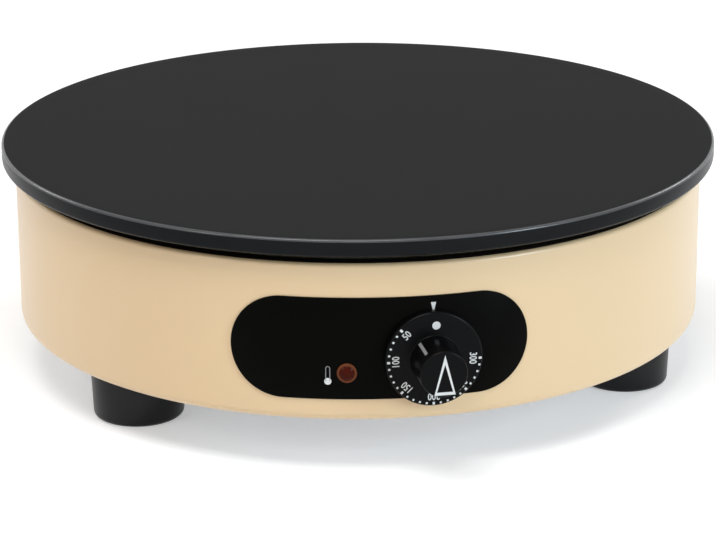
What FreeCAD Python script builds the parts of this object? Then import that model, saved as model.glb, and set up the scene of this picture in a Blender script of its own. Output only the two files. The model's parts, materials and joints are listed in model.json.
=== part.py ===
"""Electric crepe maker: a round cast cooking plate on a painted sheet drum with three feet.

Millimetres, +Z up, the control panel towards -Y. The origin is the point on the floor under the plate's axis.
Every driving size is a cell of the sheet "Sizes". Sketches, features and placements are bound to those cells.
"""
import FreeCAD, Part
import math
import os
import re

import Sketcher

SIZES = {
    # cooking plate
    "plate_dia": 400.0,
    "plate_thick": 9.5,
    "plate_top_round": 1.3,
    "plate_low_round": 2.0,
    "plate_gap": 5.6,
    "boss_dia": 20.0,
    "boss_height": 4.0,
    # drum
    "shell_dia": 385.4,
    "shell_height": 85.5,
    "shell_sheet": 1.2,
    "shell_top_lip": 9.0,
    "shell_top_round": 2.6,
    "shell_foot_lip": 23.0,
    "shell_foot_round": 5.0,
    "weld_gap": 0.1,
    # base cover
    "cover_sheet": 1.2,
    "cover_inset": 8.7,
    "cover_screw_inset": 18.2,
    "cover_screw_dia": 4.0,
    "cover_screw_length": 9.0,
    "cover_screw_head_dia": 7.6,
    "cover_screw_head": 2.0,
    "cover_screw_count": 6,
    "vent_inner": 62.0,
    "vent_outer": 104.0,
    "vent_width": 5.0,
    "vent_count": 18,
    # feet
    "foot_height": 28.2,
    "foot_low_dia": 49.4,
    "foot_top_dia": 51.4,
    "foot_round": 3.0,
    "foot_inset": 35.4,
    "foot_turn": -22.6,
    "foot_count": 3,
    "foot_recess_dia": 17.0,
    "foot_recess": 12.0,
    "foot_screw_dia": 6.0,
    "foot_screw_head_dia": 12.0,
    "foot_screw_head": 4.0,
    "foot_washer_dia": 12.5,
    "foot_washer": 1.2,
    "foot_nut_across": 10.0,
    "foot_nut": 5.0,
    # plate studs and brackets
    "stud_inset": 26.5,
    "stud_turn": 90.0,
    "stud_count": 3,
    "stud_dia": 8.0,
    "stud_engaged": 8.2,
    "stud_end": 2.0,
    "spacer_dia": 14.0,
    "washer_dia": 16.0,
    "washer_thick": 2.0,
    "nut_across": 13.0,
    "nut_thick": 6.5,
    "bracket_sheet": 1.5,
    "bracket_reach": 41.0,
    "bracket_leg": 20.0,
    "bracket_angle": 12.0,
    "bracket_drop": 36.5,
    # heat shield and insulation
    "shield_sheet": 0.8,
    "shield_inset": 11.5,
    "shield_rim": 12.0,
    "board_gap": 8.0,
    "nut_pocket_dia": 16.0,
    "nut_pocket": 10.0,
    # heating element
    "tube_dia": 8.0,
    "tube_gap": 0.2,
    "loop_inset": 23.0,
    "loop_spacing": 40.0,
    "loop_start": 105.0,
    "loop_turn": 427.0,
    "loop_end": 110.0,
    "leg_bend": 12.0,
    "leg_below_shield": 8.0,
    "leg_hole_dia": 14.0,
    "bend_hole_dia": 16.0,
    "seal_dia": 8.4,
    "seal_length": 4.0,
    "pin_dia": 3.2,
    "pin_length": 12.0,
    # clamp plate
    "clamp_thick": 2.0,
    "clamp_gap": 8.0,
    "clamp_stud_turn": 30.0,
    "clamp_stud_count": 3,
    "clamp_stud_dia": 6.0,
    "clamp_stud_engaged": 6.0,
    "clamp_stud_end": 2.0,
    "clamp_nut_across": 10.0,
    "clamp_nut": 5.0,
    # thermostat bulb and capillary
    "bulb_dia": 6.0,
    "bulb_length": 90.0,
    "bulb_setback": 20.0,
    "channel_sheet": 0.8,
    "channel_length": 60.0,
    "channel_side": 5.0,
    "capillary_dia": 2.0,
    "capillary_hole_dia": 12.0,
    "capillary_drop": 16.0,
    "capillary_port": 12.0,
    # control panel
    "panel_length": 156.8,
    "panel_height": 55.0,
    "panel_offset": 1.8,
    "panel_thick": 0.8,
    "panel_glue": 0.1,
    "panel_level": 69.6,
    # knob and spindle
    "knob_offset": 27.9,
    "knob_level": 64.4,
    "dial_gap": 0.8,
    "dial_dia": 51.0,
    "dial_thick": 4.4,
    "dial_round": 1.5,
    "dial_recess_dia": 45.0,
    "dial_recess": 2.6,
    "grip_length": 22.5,
    "grip_low_dia": 25.6,
    "grip_tip_dia": 24.6,
    "grip_round": 1.0,
    "hub_dia": 11.0,
    "hub_depth": 16.0,
    "spindle_dia": 6.0,
    "spindle_flat": 1.4,
    "spindle_flat_length": 13.0,
    "spindle_in_case": 11.5,
    "spindle_play": 0.05,
    "spindle_hole_dia": 10.0,
    "clip_thick": 0.7,
    "clip_width": 3.2,
    "clip_length": 9.0,
    # thermostat
    "bracket_plate_wide": 60.0,
    "bracket_plate_tall": 44.0,
    "bracket_plate_thick": 1.5,
    "case_wide": 34.0,
    "case_tall": 35.0,
    "case_deep": 26.0,
    "case_screw_spacing": 28.0,
    "case_screw_dia": 4.0,
    "case_screw_grip": 6.0,
    "case_screw_head_dia": 6.8,
    "case_screw_head": 1.6,
    "blade_wide": 6.3,
    "blade_thick": 0.8,
    "blade_long": 9.0,
    "blade_side": 10.0,
    "blade_rise": 8.0,
    # lamp
    "lamp_offset": -15.8,
    "lamp_level": 56.8,
    "lens_dia": 10.4,
    "lens_flange": 1.0,
    "lens_dome_dia": 8.0,
    "lens_dome_height": 1.6,
    "lamp_stem_dia": 8.0,
    "lamp_depth": 22.0,
    "lamp_clip_dia": 15.0,
    "lamp_clip": 0.8,
    "lamp_blade_wide": 2.8,
    "lamp_blade_thick": 0.6,
    "lamp_blade_long": 7.0,
    "lamp_blade_side": 2.2,
    # overheat cut-out
    "cutout_x": 50.0,
    "cutout_y": 60.0,
    "cutout_dia": 16.0,
    "cutout_height": 9.0,
    "cutout_ear_long": 32.0,
    "cutout_ear_wide": 9.0,
    "cutout_ear_thick": 1.2,
    "cutout_screw_spacing": 24.0,
    "cutout_screw_dia": 3.0,
    "cutout_screw_head_dia": 5.6,
    "cutout_screw_head": 2.0,
    "cutout_blade_side": 5.0,
    "cutout_blade_long": 8.0,
    # terminal block
    "block_inset": 72.7,
    "block_long": 44.0,
    "block_wide": 22.0,
    "block_tall": 17.0,
    "block_pole_spacing": 13.0,
    "block_pole_level": 9.0,
    "block_sleeve_dia": 7.0,
    "block_sleeve_wall": 0.7,
    "block_screw_dia": 3.0,
    "block_screw_head_dia": 5.4,
    "block_screw_head": 2.0,
    # earth stud
    "earth_x": 62.0,
    "earth_inset": 74.7,
    "earth_dia": 5.0,
    "earth_base_dia": 10.0,
    "earth_base": 1.6,
    "earth_height": 14.0,
    "earth_tag_dia": 10.0,
    "earth_tag": 0.9,
    "earth_barrel_dia": 4.2,
    "earth_barrel": 9.0,
    "earth_nut_across": 8.0,
    "earth_nut": 4.0,
    # mains gland
    "gland_turn": 90.0,
    "gland_level": 55.0,
    "gland_thread_dia": 16.0,
    "gland_bore_dia": 10.4,
    "gland_inside": 13.0,
    "gland_flange_across": 22.0,
    "gland_flange": 5.0,
    "gland_neck": 6.0,
    "gland_cap_dia": 21.0,
    "gland_cap": 15.0,
    "gland_cap_round": 4.0,
    "gland_cap_wall": 2.0,
    "gland_cap_hole_dia": 11.0,
    "gland_seal": 5.0,
    "gland_seal_bore_dia": 9.2,
    "gland_nut_across": 21.0,
    "gland_nut": 4.0,
    # leads
    "lead_dia": 2.6,
    # clearances that several pieces share
    "hole_gap": 0.3,
    "thread_gap": 0.1,
    "seat_gap": 0.2,
}

# Values worked out from the sheet, written in its words.
WORKED = {
    "cover_top": "foot_height + cover_sheet",
    "shell_low": "cover_top",
    "shell_top": "shell_low + shell_height",
    "shell_outer": "shell_dia / 2",
    "shell_inner": "shell_outer - shell_sheet",
    "plate_low": "shell_top + plate_gap",
    "plate_top": "plate_low + plate_thick",
    "boss_low": "plate_low - boss_height",
    "foot_circle": "shell_outer - foot_inset",
    "stud_circle": "shell_inner - stud_inset",
    "shield_outer": "shell_inner - shield_inset",
    "spacer_inside": "stud_circle - spacer_dia / 2",
    "board_outer": "spacer_inside - board_gap",
    "clamp_outer": "spacer_inside - clamp_gap",
    "outer_loop": "spacer_inside - loop_inset",
    "inner_loop": "outer_loop - loop_spacing",
    "clamp_stud_circle": "(outer_loop + inner_loop) / 2",
    "tube_level": "plate_low - tube_gap - tube_dia / 2",
    "clamp_top": "tube_level - tube_dia / 2 - tube_gap",
    "clamp_low": "clamp_top - clamp_thick",
    "shield_low": "plate_low - bracket_drop",
    "shield_top": "shield_low + shield_sheet",
    "bracket_low": "shield_low - bracket_sheet",
    "nut_top": "bracket_low - washer_thick",
    "nut_low": "nut_top - nut_thick",
    "leg_low": "shield_low - leg_below_shield",
    "outer_leg_x": "outer_loop * cos(loop_start) + leg_bend * sin(loop_start)",
    "outer_leg_y": "outer_loop * sin(loop_start) - leg_bend * cos(loop_start)",
    "inner_leg_x": "inner_loop * cos(loop_end) + leg_bend * sin(loop_end)",
    "inner_leg_y": "inner_loop * sin(loop_end) - leg_bend * cos(loop_end)",
    "bulb_level": "plate_low - tube_gap - bulb_dia / 2",
    "capillary_x": "-bulb_length / 2 - capillary_drop",
    "panel_inner": "shell_outer + panel_glue",
    "panel_outer": "panel_inner + panel_thick",
    "panel_low": "panel_level - panel_height / 2",
    "panel_end_angle": "(panel_length - panel_height) / 2 / shell_outer * 180 / pi",
    "panel_turn": "panel_offset / shell_outer * 180 / pi - 90",
    "knob_turn": "knob_offset / shell_outer * 180 / pi - 90",
    "lamp_turn": "lamp_offset / shell_outer * 180 / pi - 90",
    "dial_back": "panel_outer + dial_gap",
    "dial_front": "dial_back + dial_thick",
    "grip_tip": "dial_front + grip_length",
    "bracket_plate_half": "bracket_plate_wide / 2",
    "bracket_plate_depth": "sqrt(shell_inner * shell_inner - bracket_plate_half * bracket_plate_half)",
    "bracket_plate_front": "bracket_plate_depth - seat_gap",
    "case_front": "bracket_plate_front - bracket_plate_thick",
    "case_back": "case_front - case_deep",
    "blade_end": "case_back - blade_long",
    "hub_end": "dial_back + hub_depth",
    "lens_back": "panel_outer + seat_gap",
    "lamp_back": "lens_back - lamp_depth",
    "cutout_low": "shield_low - cutout_height",
    "block_setback": "shell_outer - block_inset",
    "block_y_low": "block_setback - block_wide / 2",
    "earth_y": "shell_outer - earth_inset",
    "pole_level": "cover_top + block_pole_level",
    "gland_flange_back": "shell_outer + seat_gap",
    "gland_flange_front": "gland_flange_back + gland_flange",
    "gland_neck_end": "gland_flange_front + gland_neck",
    "gland_cap_back": "gland_flange_front + seat_gap",
    "gland_cap_end": "gland_cap_back + gland_cap",
    "gland_nut_front": "sqrt(shell_inner * shell_inner - gland_nut_across * gland_nut_across / 3) - seat_gap",
    "cover_screw_circle": "shell_outer - cover_screw_inset",
    "earth_barrel_level": "cover_top + earth_base + (earth_tag + earth_barrel_dia) / 2",
}

doc = FreeCAD.newDocument("CrepeMaker")
sheet = doc.addObject("Spreadsheet::Sheet", "Sizes")
for row, (alias, number) in enumerate(SIZES.items(), start=1):
    sheet.set(f"A{row}", alias)
    sheet.set(f"B{row}", str(number))
    sheet.setAlias(f"B{row}", alias)
doc.recompute()

NODES = {}
Vector = FreeCAD.Vector
# How much of the shorter run beside a corner of a tube's route its arc takes.
BEND_SHARE = 0.45


def sized(text):
    """Write the sheet's cells, and the sums of worked values, in place of their words."""
    def swap(match):
        word = match.group(0)
        if word in SIZES:
            return "Sizes." + word
        if word in WORKED:
            return "(" + sized(WORKED[word]) + ")"
        return word
    return re.sub(r"[a-z]\w*", swap, text)


def value(text):
    """The number that an expression in the sheet's words gives."""
    return float(sheet.evalExpression(sized(text)))


def polar(radius, angle):
    """The x and y expressions of a point at a radius and an angle about the plate's axis."""
    return f"({radius}) * cos({angle})", f"({radius}) * sin({angle})"


def at_point(x, y, height):
    """A placement that only moves."""
    return f"placement(vector({x}; {y}; {height}); rotation(vector(0; 0; 1); 0))"


def turned(angle):
    """A placement that only turns about the plate's axis."""
    return f"placement(vector(0; 0; 0); rotation(vector(0; 0; 1); {angle}))"


def outward(angle, height, distance="0", sideways="0"):
    """A placement whose own Z points away from the plate's axis and whose own Y points up."""
    x = f"({distance}) * cos({angle}) - ({sideways}) * sin({angle})"
    y = f"({distance}) * sin({angle}) + ({sideways}) * cos({angle})"
    turn = f"rotation(vector(0; 0; 1); {angle} + 90) * rotation(vector(1; 0; 0); 90)"
    return f"placement(vector({x}; {y}; {height}); {turn})"


def pin_point(sketch, geometry, end, x, y):
    """Bind a sketch point to the expressions of its two coordinates."""
    for kind, text in (("DistanceX", x), ("DistanceY", y)):
        held = sketch.addConstraint(Sketcher.Constraint(kind, -1, 1, geometry, end, value(text)))
        sketch.setExpression(f"Constraints[{held}]", sized(text))


def set_radius(sketch, geometry, radius):
    """Bind the radius of a circle or an arc."""
    held = sketch.addConstraint(Sketcher.Constraint("Radius", geometry, value(radius)))
    sketch.setExpression(f"Constraints[{held}]", sized(radius))


def disc(x, y, radius):
    """A circle for a sketch."""
    def draw(sketch):
        middle = Vector(value(x), value(y), 0)
        round_edge = Part.Circle(middle, Vector(0, 0, 1), value(radius))
        geometry = sketch.addGeometry(round_edge, False)
        pin_point(sketch, geometry, 3, x, y)
        set_radius(sketch, geometry, radius)
    return draw


def bent_edge(start, end, radius):
    """The arc from start to end, counter-clockwise about its middle, with the given radius."""
    chord = end - start
    half = chord.Length / 2
    left = Vector(-chord.y, chord.x, 0).normalize()
    middle = start + chord * 0.5 + left * math.sqrt(max(radius * radius - half * half, 0))
    first = math.atan2(start.y - middle.y, start.x - middle.x)
    last = math.atan2(end.y - middle.y, end.x - middle.x)
    if last < first:
        last += 2 * math.pi
    return Part.ArcOfCircle(Part.Circle(middle, Vector(0, 0, 1), radius), first, last)


def outline(*corners):
    """A closed outline for a sketch, counter-clockwise. A corner's third term is its arc's radius."""
    def draw(sketch):
        spots = [Vector(value(corner[0]), value(corner[1]), 0) for corner in corners]
        edges = []
        for number, corner in enumerate(corners):
            start = spots[number]
            end = spots[(number + 1) % len(spots)]
            if len(corner) == 3:
                edge = bent_edge(start, end, value(corner[2]))
            else:
                edge = Part.LineSegment(start, end)
            edges.append(sketch.addGeometry(edge, False))
        for number, corner in enumerate(corners):
            following = edges[(number + 1) % len(edges)]
            sketch.addConstraint(Sketcher.Constraint("Coincident", edges[number], 2, following, 1))
            pin_point(sketch, edges[number], 1, corner[0], corner[1])
            if len(corner) == 3:
                set_radius(sketch, edges[number], corner[2])
    return draw


def block(x, y, wide, tall):
    """A rectangle for a sketch, about its middle."""
    left, right = f"({x}) - ({wide}) / 2", f"({x}) + ({wide}) / 2"
    low, high = f"({y}) - ({tall}) / 2", f"({y}) + ({tall}) / 2"
    return outline((left, low), (right, low), (right, high), (left, high))


def hexagon(x, y, across):
    """A hexagon for a sketch, from its width across the flats."""
    corners = []
    for number in range(6):
        reach = f"({across}) / sqrt(3)"
        turn = 60 * number
        corners.append((f"({x}) + {reach} * cos({turn})", f"({y}) + {reach} * sin({turn})"))
    return outline(*corners)


def slot(start, end, y, width):
    """A slot with round ends, along X, for a sketch."""
    def draw(sketch):
        half = value(width) / 2
        corners = [(start, f"({y}) - ({width}) / 2"), (end, f"({y}) - ({width}) / 2")]
        corners += [(end, f"({y}) + ({width}) / 2"), (start, f"({y}) + ({width}) / 2")]
        spots = [Vector(value(x), value(level), 0) for x, level in corners]
        edges = []
        for number in range(4):
            first, last = spots[number], spots[(number + 1) % 4]
            edge = Part.LineSegment(first, last) if number % 2 == 0 else bent_edge(first, last, half)
            edges.append(sketch.addGeometry(edge, False))
        for number in range(4):
            following = edges[(number + 1) % 4]
            sketch.addConstraint(Sketcher.Constraint("Coincident", edges[number], 2, following, 1))
            pin_point(sketch, edges[number], 1, *corners[number])
        for edge, x in ((edges[1], end), (edges[3], start)):
            held = sketch.addConstraint(Sketcher.Constraint("DistanceX", -1, 1, edge, 3, value(x)))
            sketch.setExpression(f"Constraints[{held}]", sized(x))
    return draw


class Piece:
    """One sub-part: a body whose sketches and features are bound to the sheet."""

    def __init__(self, label, keep=True):
        self.label = label
        self.body = doc.addObject("PartDesign::Body", label)
        self.body.Label = label
        self.body.AllowCompound = True
        if keep:
            NODES[label] = self.body

    def sketch(self, role, height, shapes):
        """A sketch on one of the body's own planes, moved along that plane's normal."""
        sketch = self.body.newObject("Sketcher::SketchObject", f"{self.label}_sketch")
        plane = next(item for item in self.body.Origin.OriginFeatures if item.Role == role)
        sketch.AttachmentSupport = [(plane, "")]
        sketch.MapMode = "FlatFace"
        sketch.setExpression("AttachmentOffset.Base.z", sized(height))
        for shape in shapes:
            shape(sketch)
        return sketch

    def feature(self, kind, sketch):
        """A feature of the body on a sketch."""
        feature = self.body.newObject(f"PartDesign::{kind}", f"{self.label}_{kind.lower()}")
        feature.Profile = sketch
        self.body.Tip = feature
        return feature

    def pad(self, low, high, *shapes, role="XY_Plane"):
        """Material between two levels."""
        sketch = self.sketch(role, low, shapes)
        feature = self.feature("Pad", sketch)
        feature.setExpression("Length", sized(f"({high}) - ({low})"))
        return feature

    def cut(self, low, high, *shapes, role="XY_Plane"):
        """Material taken away between two levels, from the higher one down."""
        sketch = self.sketch(role, high, shapes)
        doc.recompute()
        feature = self.feature("Pocket", sketch)
        feature.setExpression("Length", sized(f"({high}) - ({low})"))
        return feature

    def turn(self, *corners, angle=None):
        """A profile of radius and height, turned about the body's own Z axis."""
        sketch = self.sketch("XZ_Plane", "0", [outline(*corners)])
        feature = self.feature("Revolution", sketch)
        feature.ReferenceAxis = (sketch, ["V_Axis"])
        feature.Angle = 360
        if angle:
            feature.Midplane = True
            feature.setExpression("Angle", sized(angle))
        return feature

    def repeat(self, count, *features):
        """Copies of features, evenly spaced about the body's own Z axis."""
        doc.recompute()
        pattern = self.body.newObject("PartDesign::PolarPattern", f"{self.label}_ring")
        pattern.Originals = list(features)
        axis = next(item for item in self.body.Origin.OriginFeatures if item.Role == "Z_Axis")
        pattern.Axis = (axis, [""])
        pattern.Angle = 360
        pattern.setExpression("Occurrences", sized(count))
        self.body.Tip = pattern
        return pattern

    def place(self, placement):
        """Bind the body's placement."""
        self.body.setExpression("Placement", sized(placement))


def drill(label, dia, low, high, angle, height, sideways="0"):
    """A round cutter that points away from the plate's axis."""
    cutter = doc.addObject("Part::Cylinder", label)
    cutter.setExpression("Radius", sized(f"({dia}) / 2"))
    cutter.setExpression("Height", sized(f"({high}) - ({low})"))
    cutter.setExpression("Placement", sized(outward(angle, height, low, sideways)))
    return cutter


def joined(label, shapes):
    """Several shapes in one."""
    fused = doc.addObject("Part::MultiFuse", label)
    fused.Shapes = shapes
    return fused


def cut_away(label, base, tool, keep=False):
    """The base without the tool."""
    result = doc.addObject("Part::Cut", label)
    result.Label = label
    result.Base = base
    result.Tool = tool
    if keep:
        NODES[label] = result
    return result


def make_plate():
    """Cast cooking plate: three threaded bosses for its studs and three blind holes for the clamp studs."""
    plate = Piece("griddle_plate")
    plate.turn(
        ("0", "plate_low"),
        ("plate_dia / 2 - plate_low_round", "plate_low", "plate_low_round"),
        ("plate_dia / 2", "plate_low + plate_low_round"),
        ("plate_dia / 2", "plate_top - plate_top_round", "plate_top_round"),
        ("plate_dia / 2 - plate_top_round", "plate_top"),
        ("0", "plate_top"),
    )
    stud = polar("stud_circle", "stud_turn")
    boss = plate.pad("boss_low", "plate_low + seat_gap", disc(*stud, "boss_dia / 2"))
    plate.repeat("stud_count", boss)
    stud_hole = disc(*stud, "stud_dia / 2 + thread_gap")
    tapped = plate.cut("boss_low", "boss_low + stud_engaged + hole_gap", stud_hole)
    plate.repeat("stud_count", tapped)
    clamp = polar("clamp_stud_circle", "clamp_stud_turn")
    clamp_hole = disc(*clamp, "clamp_stud_dia / 2 + thread_gap")
    blind = plate.cut("plate_low", "plate_low + clamp_stud_engaged + hole_gap", clamp_hole)
    plate.repeat("clamp_stud_count", blind)


def make_plate_fixings():
    """Studs, spacer tubes, spring washers and nuts that hold the plate down on its brackets."""
    stud = polar("stud_circle", "stud_turn")
    shank = "stud_dia / 2"
    studs = Piece("plate_studs")
    studs.repeat("stud_count", studs.pad("nut_low - stud_end", "boss_low + stud_engaged", disc(*stud, shank)))
    rings = (
        ("plate_spacers", "shield_top", "boss_low", disc(*stud, "spacer_dia / 2"), "hole_gap"),
        ("plate_washers", "nut_top", "bracket_low", disc(*stud, "washer_dia / 2"), "hole_gap"),
        ("plate_nuts", "nut_low", "nut_top", hexagon(*stud, "nut_across"), "thread_gap"),
    )
    for label, low, high, edge, gap in rings:
        ring = Piece(label)
        ring.repeat("stud_count", ring.pad(low, high, edge, disc(*stud, f"{shank} + {gap}")))


def make_brackets():
    """Three folded brackets, spot-welded inside the drum, under the plate's studs."""
    brackets = Piece("support_brackets")
    outer = "shell_inner - weld_gap"
    leg = brackets.turn(
        (f"{outer} - bracket_reach", "bracket_low"),
        (outer, "bracket_low"),
        (outer, "bracket_low + bracket_leg"),
        (f"{outer} - bracket_sheet", "bracket_low + bracket_leg"),
        (f"{outer} - bracket_sheet", "shield_low"),
        (f"{outer} - bracket_reach", "shield_low"),
        angle="bracket_angle",
    )
    brackets.repeat("stud_count", leg)
    hole = brackets.cut("bracket_low", "shield_low", disc("stud_circle", "0", "stud_dia / 2 + hole_gap"))
    brackets.repeat("stud_count", hole)
    brackets.place(turned("stud_turn"))


def through_holes(leg_dia):
    """The holes that the element's two legs and the capillary pass through, in any layer under the plate."""
    return (
        disc("outer_leg_x", "outer_leg_y", f"{leg_dia} / 2"),
        disc("inner_leg_x", "inner_leg_y", f"{leg_dia} / 2"),
        disc("capillary_x", "-bulb_setback", "capillary_hole_dia / 2"),
    )


def bend_holes():
    """The clamp plate's holes, set over towards the way that the legs bend as they pass it."""
    shift = "leg_bend / 3"
    outer_x, outer_y = f"outer_leg_x - {shift} * sin(loop_start)", f"outer_leg_y + {shift} * cos(loop_start)"
    inner_x, inner_y = f"inner_leg_x - {shift} * sin(loop_end)", f"inner_leg_y + {shift} * cos(loop_end)"
    return (
        disc(outer_x, outer_y, "bend_hole_dia / 2"),
        disc(inner_x, inner_y, "bend_hole_dia / 2"),
        disc("capillary_x", "-bulb_setback", "capillary_hole_dia / 2"),
    )


def make_shield_and_board():
    """Heat shield pan on the brackets, and the insulation board between it and the clamp plate."""
    stud = polar("stud_circle", "stud_turn")
    shield = Piece("heat_shield")
    shield.turn(
        ("0", "shield_low"),
        ("shield_outer", "shield_low"),
        ("shield_outer", "shield_low + shield_rim"),
        ("shield_outer - shield_sheet", "shield_low + shield_rim"),
        ("shield_outer - shield_sheet", "shield_top"),
        ("0", "shield_top"),
    )
    hole = shield.cut("shield_low", "shield_top", disc(*stud, "stud_dia / 2 + hole_gap"))
    shield.repeat("stud_count", hole)
    screw_hole = "cutout_screw_dia / 2 + hole_gap"
    half = "cutout_screw_spacing / 2"
    shield.cut(
        "shield_low",
        "shield_top",
        *through_holes("leg_hole_dia"),
        disc(f"cutout_x - {half}", "cutout_y", screw_hole),
        disc(f"cutout_x + {half}", "cutout_y", screw_hole),
    )
    board = Piece("insulation_board")
    board.pad("shield_top", "clamp_low", disc("0", "0", "board_outer"), *through_holes("leg_hole_dia"))
    clamp = polar("clamp_stud_circle", "clamp_stud_turn")
    pocket = board.cut("clamp_low - nut_pocket", "clamp_low", disc(*clamp, "nut_pocket_dia / 2"))
    board.repeat("clamp_stud_count", pocket)
    for side in ("-", "+"):
        nut = disc(f"cutout_x {side} {half}", "cutout_y", "cutout_screw_head_dia / 2 + hole_gap")
        board.cut("shield_top", "shield_top + cutout_screw_head + hole_gap", nut)


def make_clamp():
    """Clamp plate that presses the element up, with its studs and nuts."""
    clamp = Piece("clamp_plate")
    clamp.pad("clamp_low", "clamp_top", disc("0", "0", "clamp_outer"), *bend_holes())
    stud = polar("clamp_stud_circle", "clamp_stud_turn")
    shank = "clamp_stud_dia / 2"
    hole = clamp.cut("clamp_low", "clamp_top", disc(*stud, f"{shank} + hole_gap"))
    clamp.repeat("clamp_stud_count", hole)
    studs = Piece("clamp_studs")
    low = "clamp_low - clamp_nut - clamp_stud_end"
    studs.repeat("clamp_stud_count", studs.pad(low, "plate_low + clamp_stud_engaged", disc(*stud, shank)))
    nuts = Piece("clamp_nuts")
    edge = hexagon(*stud, "clamp_nut_across")
    bore = disc(*stud, f"{shank} + thread_gap")
    nuts.repeat("clamp_stud_count", nuts.pad("clamp_low - clamp_nut", "clamp_low", edge, bore))


def arc_through(middle, radius, start, end, steps):
    """Equal level arcs about a middle, from one angle to another in degrees."""
    def spot(angle):
        turn = math.radians(angle)
        return middle + Vector(math.cos(turn), math.sin(turn), 0) * radius
    edges = []
    for step in range(steps):
        first = start + (end - start) * step / steps
        last = start + (end - start) * (step + 1) / steps
        edges.append(Part.Arc(spot(first), spot((first + last) / 2), spot(last)).toShape())
    return edges


def swept(label, edges, dia):
    """A round tube along joined edges."""
    path = Part.Wire(edges)
    start = path.OrderedEdges[0]
    heading = start.tangentAt(start.FirstParameter)
    ring = Part.Wire(Part.makeCircle(dia / 2, start.valueAt(start.FirstParameter), heading))
    tube = path.makePipeShell([ring], True, False)
    expected = path.Length * math.pi * dia * dia / 4
    if abs(tube.Volume / expected - 1) > 0.01:
        raise RuntimeError(f"{label}: volume {tube.Volume:.1f}, expected {expected:.1f}")
    return tube


def keep_shape(label, shape):
    """A sub-part whose shape is swept along a path in space."""
    feature = doc.addObject("Part::Feature", label)
    feature.Label = label
    feature.Shape = shape
    NODES[label] = feature


def make_element():
    """Tubular element: an outer loop, a turn back, an inner loop, and two legs bent down at the rear."""
    level = value("tube_level")
    outer, inner = value("outer_loop"), value("inner_loop")
    start, turn, end = value("loop_start"), value("loop_turn"), value("loop_end")
    bend = value("leg_bend")
    axis = Vector(0, 0, level)
    up = Vector(0, 0, 1)

    def along(angle):
        return Vector(-math.sin(math.radians(angle)), math.cos(math.radians(angle)), 0)

    def leg(leg_x, leg_y, heading):
        """The leg up from its end, and the quarter bend from it into a loop with that heading."""
        low = Vector(value(leg_x), value(leg_y), value("leg_low"))
        foot = Vector(low.x, low.y, level - bend)
        centre = foot + heading * bend
        middle = centre + (up - heading).normalize() * bend
        return [Part.LineSegment(low, foot).toShape(), Part.Arc(foot, middle, centre + up * bend).toShape()]

    turn_heading = Vector(math.cos(math.radians(turn)), math.sin(math.radians(turn)), 0)
    turn_middle = axis + turn_heading * ((outer + inner) / 2)
    edges = leg("outer_leg_x", "outer_leg_y", along(start))
    edges += arc_through(axis, outer, start, turn, 4)
    edges += arc_through(turn_middle, (outer - inner) / 2, turn, turn + 180, 2)
    edges += arc_through(axis, inner, turn, end, 4)
    edges += leg("inner_leg_x", "inner_leg_y", along(end))
    keep_shape("heating_element", swept("heating_element", Part.__sortEdges__(edges), value("tube_dia")))
    seals = Piece("element_seals")
    pins = Piece("element_terminals")
    legs = (("outer_leg_x", "outer_leg_y"), ("inner_leg_x", "inner_leg_y"))
    seals.pad("leg_low - seal_length", "leg_low", *[disc(*leg_at, "seal_dia / 2") for leg_at in legs])
    low = "leg_low - seal_length - pin_length"
    pins.pad(low, "leg_low - seal_length", *[disc(*leg_at, "pin_dia / 2") for leg_at in legs])


def make_bulb():
    """Thermostat bulb under the plate, in a sheet channel that stands on the clamp plate."""
    bulb = Piece("thermostat_bulb")
    section = disc("-bulb_setback", "bulb_level", "bulb_dia / 2")
    bulb.pad("-bulb_length / 2", "bulb_length / 2", section, role="YZ_Plane")
    channel = Piece("bulb_channel")
    inside = "(bulb_dia / 2 + seat_gap)"
    left, right = f"-bulb_setback - {inside}", f"-bulb_setback + {inside}"
    floor, top = "clamp_top + channel_sheet", "clamp_top + channel_side"
    channel.pad(
        "-channel_length / 2",
        "channel_length / 2",
        outline(
            (f"{left} - channel_sheet", "clamp_top"),
            (f"{right} + channel_sheet", "clamp_top"),
            (f"{right} + channel_sheet", top),
            (right, top),
            (right, floor),
            (left, floor),
            (left, top),
            (f"{left} - channel_sheet", top),
        ),
        role="YZ_Plane",
    )


def make_shell():
    """Drum: one turned sheet with a folded top lip and a folded foot lip, and the holes of its fittings."""
    turned_sheet = Piece("shell_sheet_metal", keep=False)
    outer, inner = "shell_outer", "shell_inner"
    top_inside = "shell_top_round - shell_sheet"
    foot_inside = "shell_foot_round - shell_sheet"
    turned_sheet.turn(
        (f"{outer} - shell_foot_lip", "shell_low"),
        (f"{outer} - shell_foot_round", "shell_low", "shell_foot_round"),
        (outer, "shell_low + shell_foot_round"),
        (outer, "shell_top - shell_top_round", "shell_top_round"),
        (f"{outer} - shell_top_round", "shell_top"),
        (f"{outer} - shell_top_lip", "shell_top"),
        (f"{outer} - shell_top_lip", "shell_top - shell_sheet"),
        (f"{inner} - ({top_inside})", "shell_top - shell_sheet"),
        (inner, f"shell_top - shell_sheet - ({top_inside})"),
        (inner, f"shell_low + shell_sheet + {foot_inside}"),
        (f"{inner} - ({foot_inside})", "shell_low + shell_sheet"),
        (f"{outer} - shell_foot_lip", "shell_low + shell_sheet"),
    )
    screw_hole = disc("cover_screw_circle", "0", "cover_screw_dia / 2 + thread_gap")
    hole = turned_sheet.cut("shell_low", "shell_low + shell_sheet", screw_hole)
    turned_sheet.repeat("cover_screw_count", hole)
    low, high = "shell_inner - bracket_reach", "shell_outer + shell_sheet"
    cutters = front_cutters("shell", low, high)
    gland_hole = "gland_thread_dia + 2 * hole_gap"
    cutters.append(drill("shell_gland_hole", gland_hole, low, high, "gland_turn", "gland_level"))
    cut_away("body_shell", turned_sheet.body, joined("shell_holes", cutters), keep=True)


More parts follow.
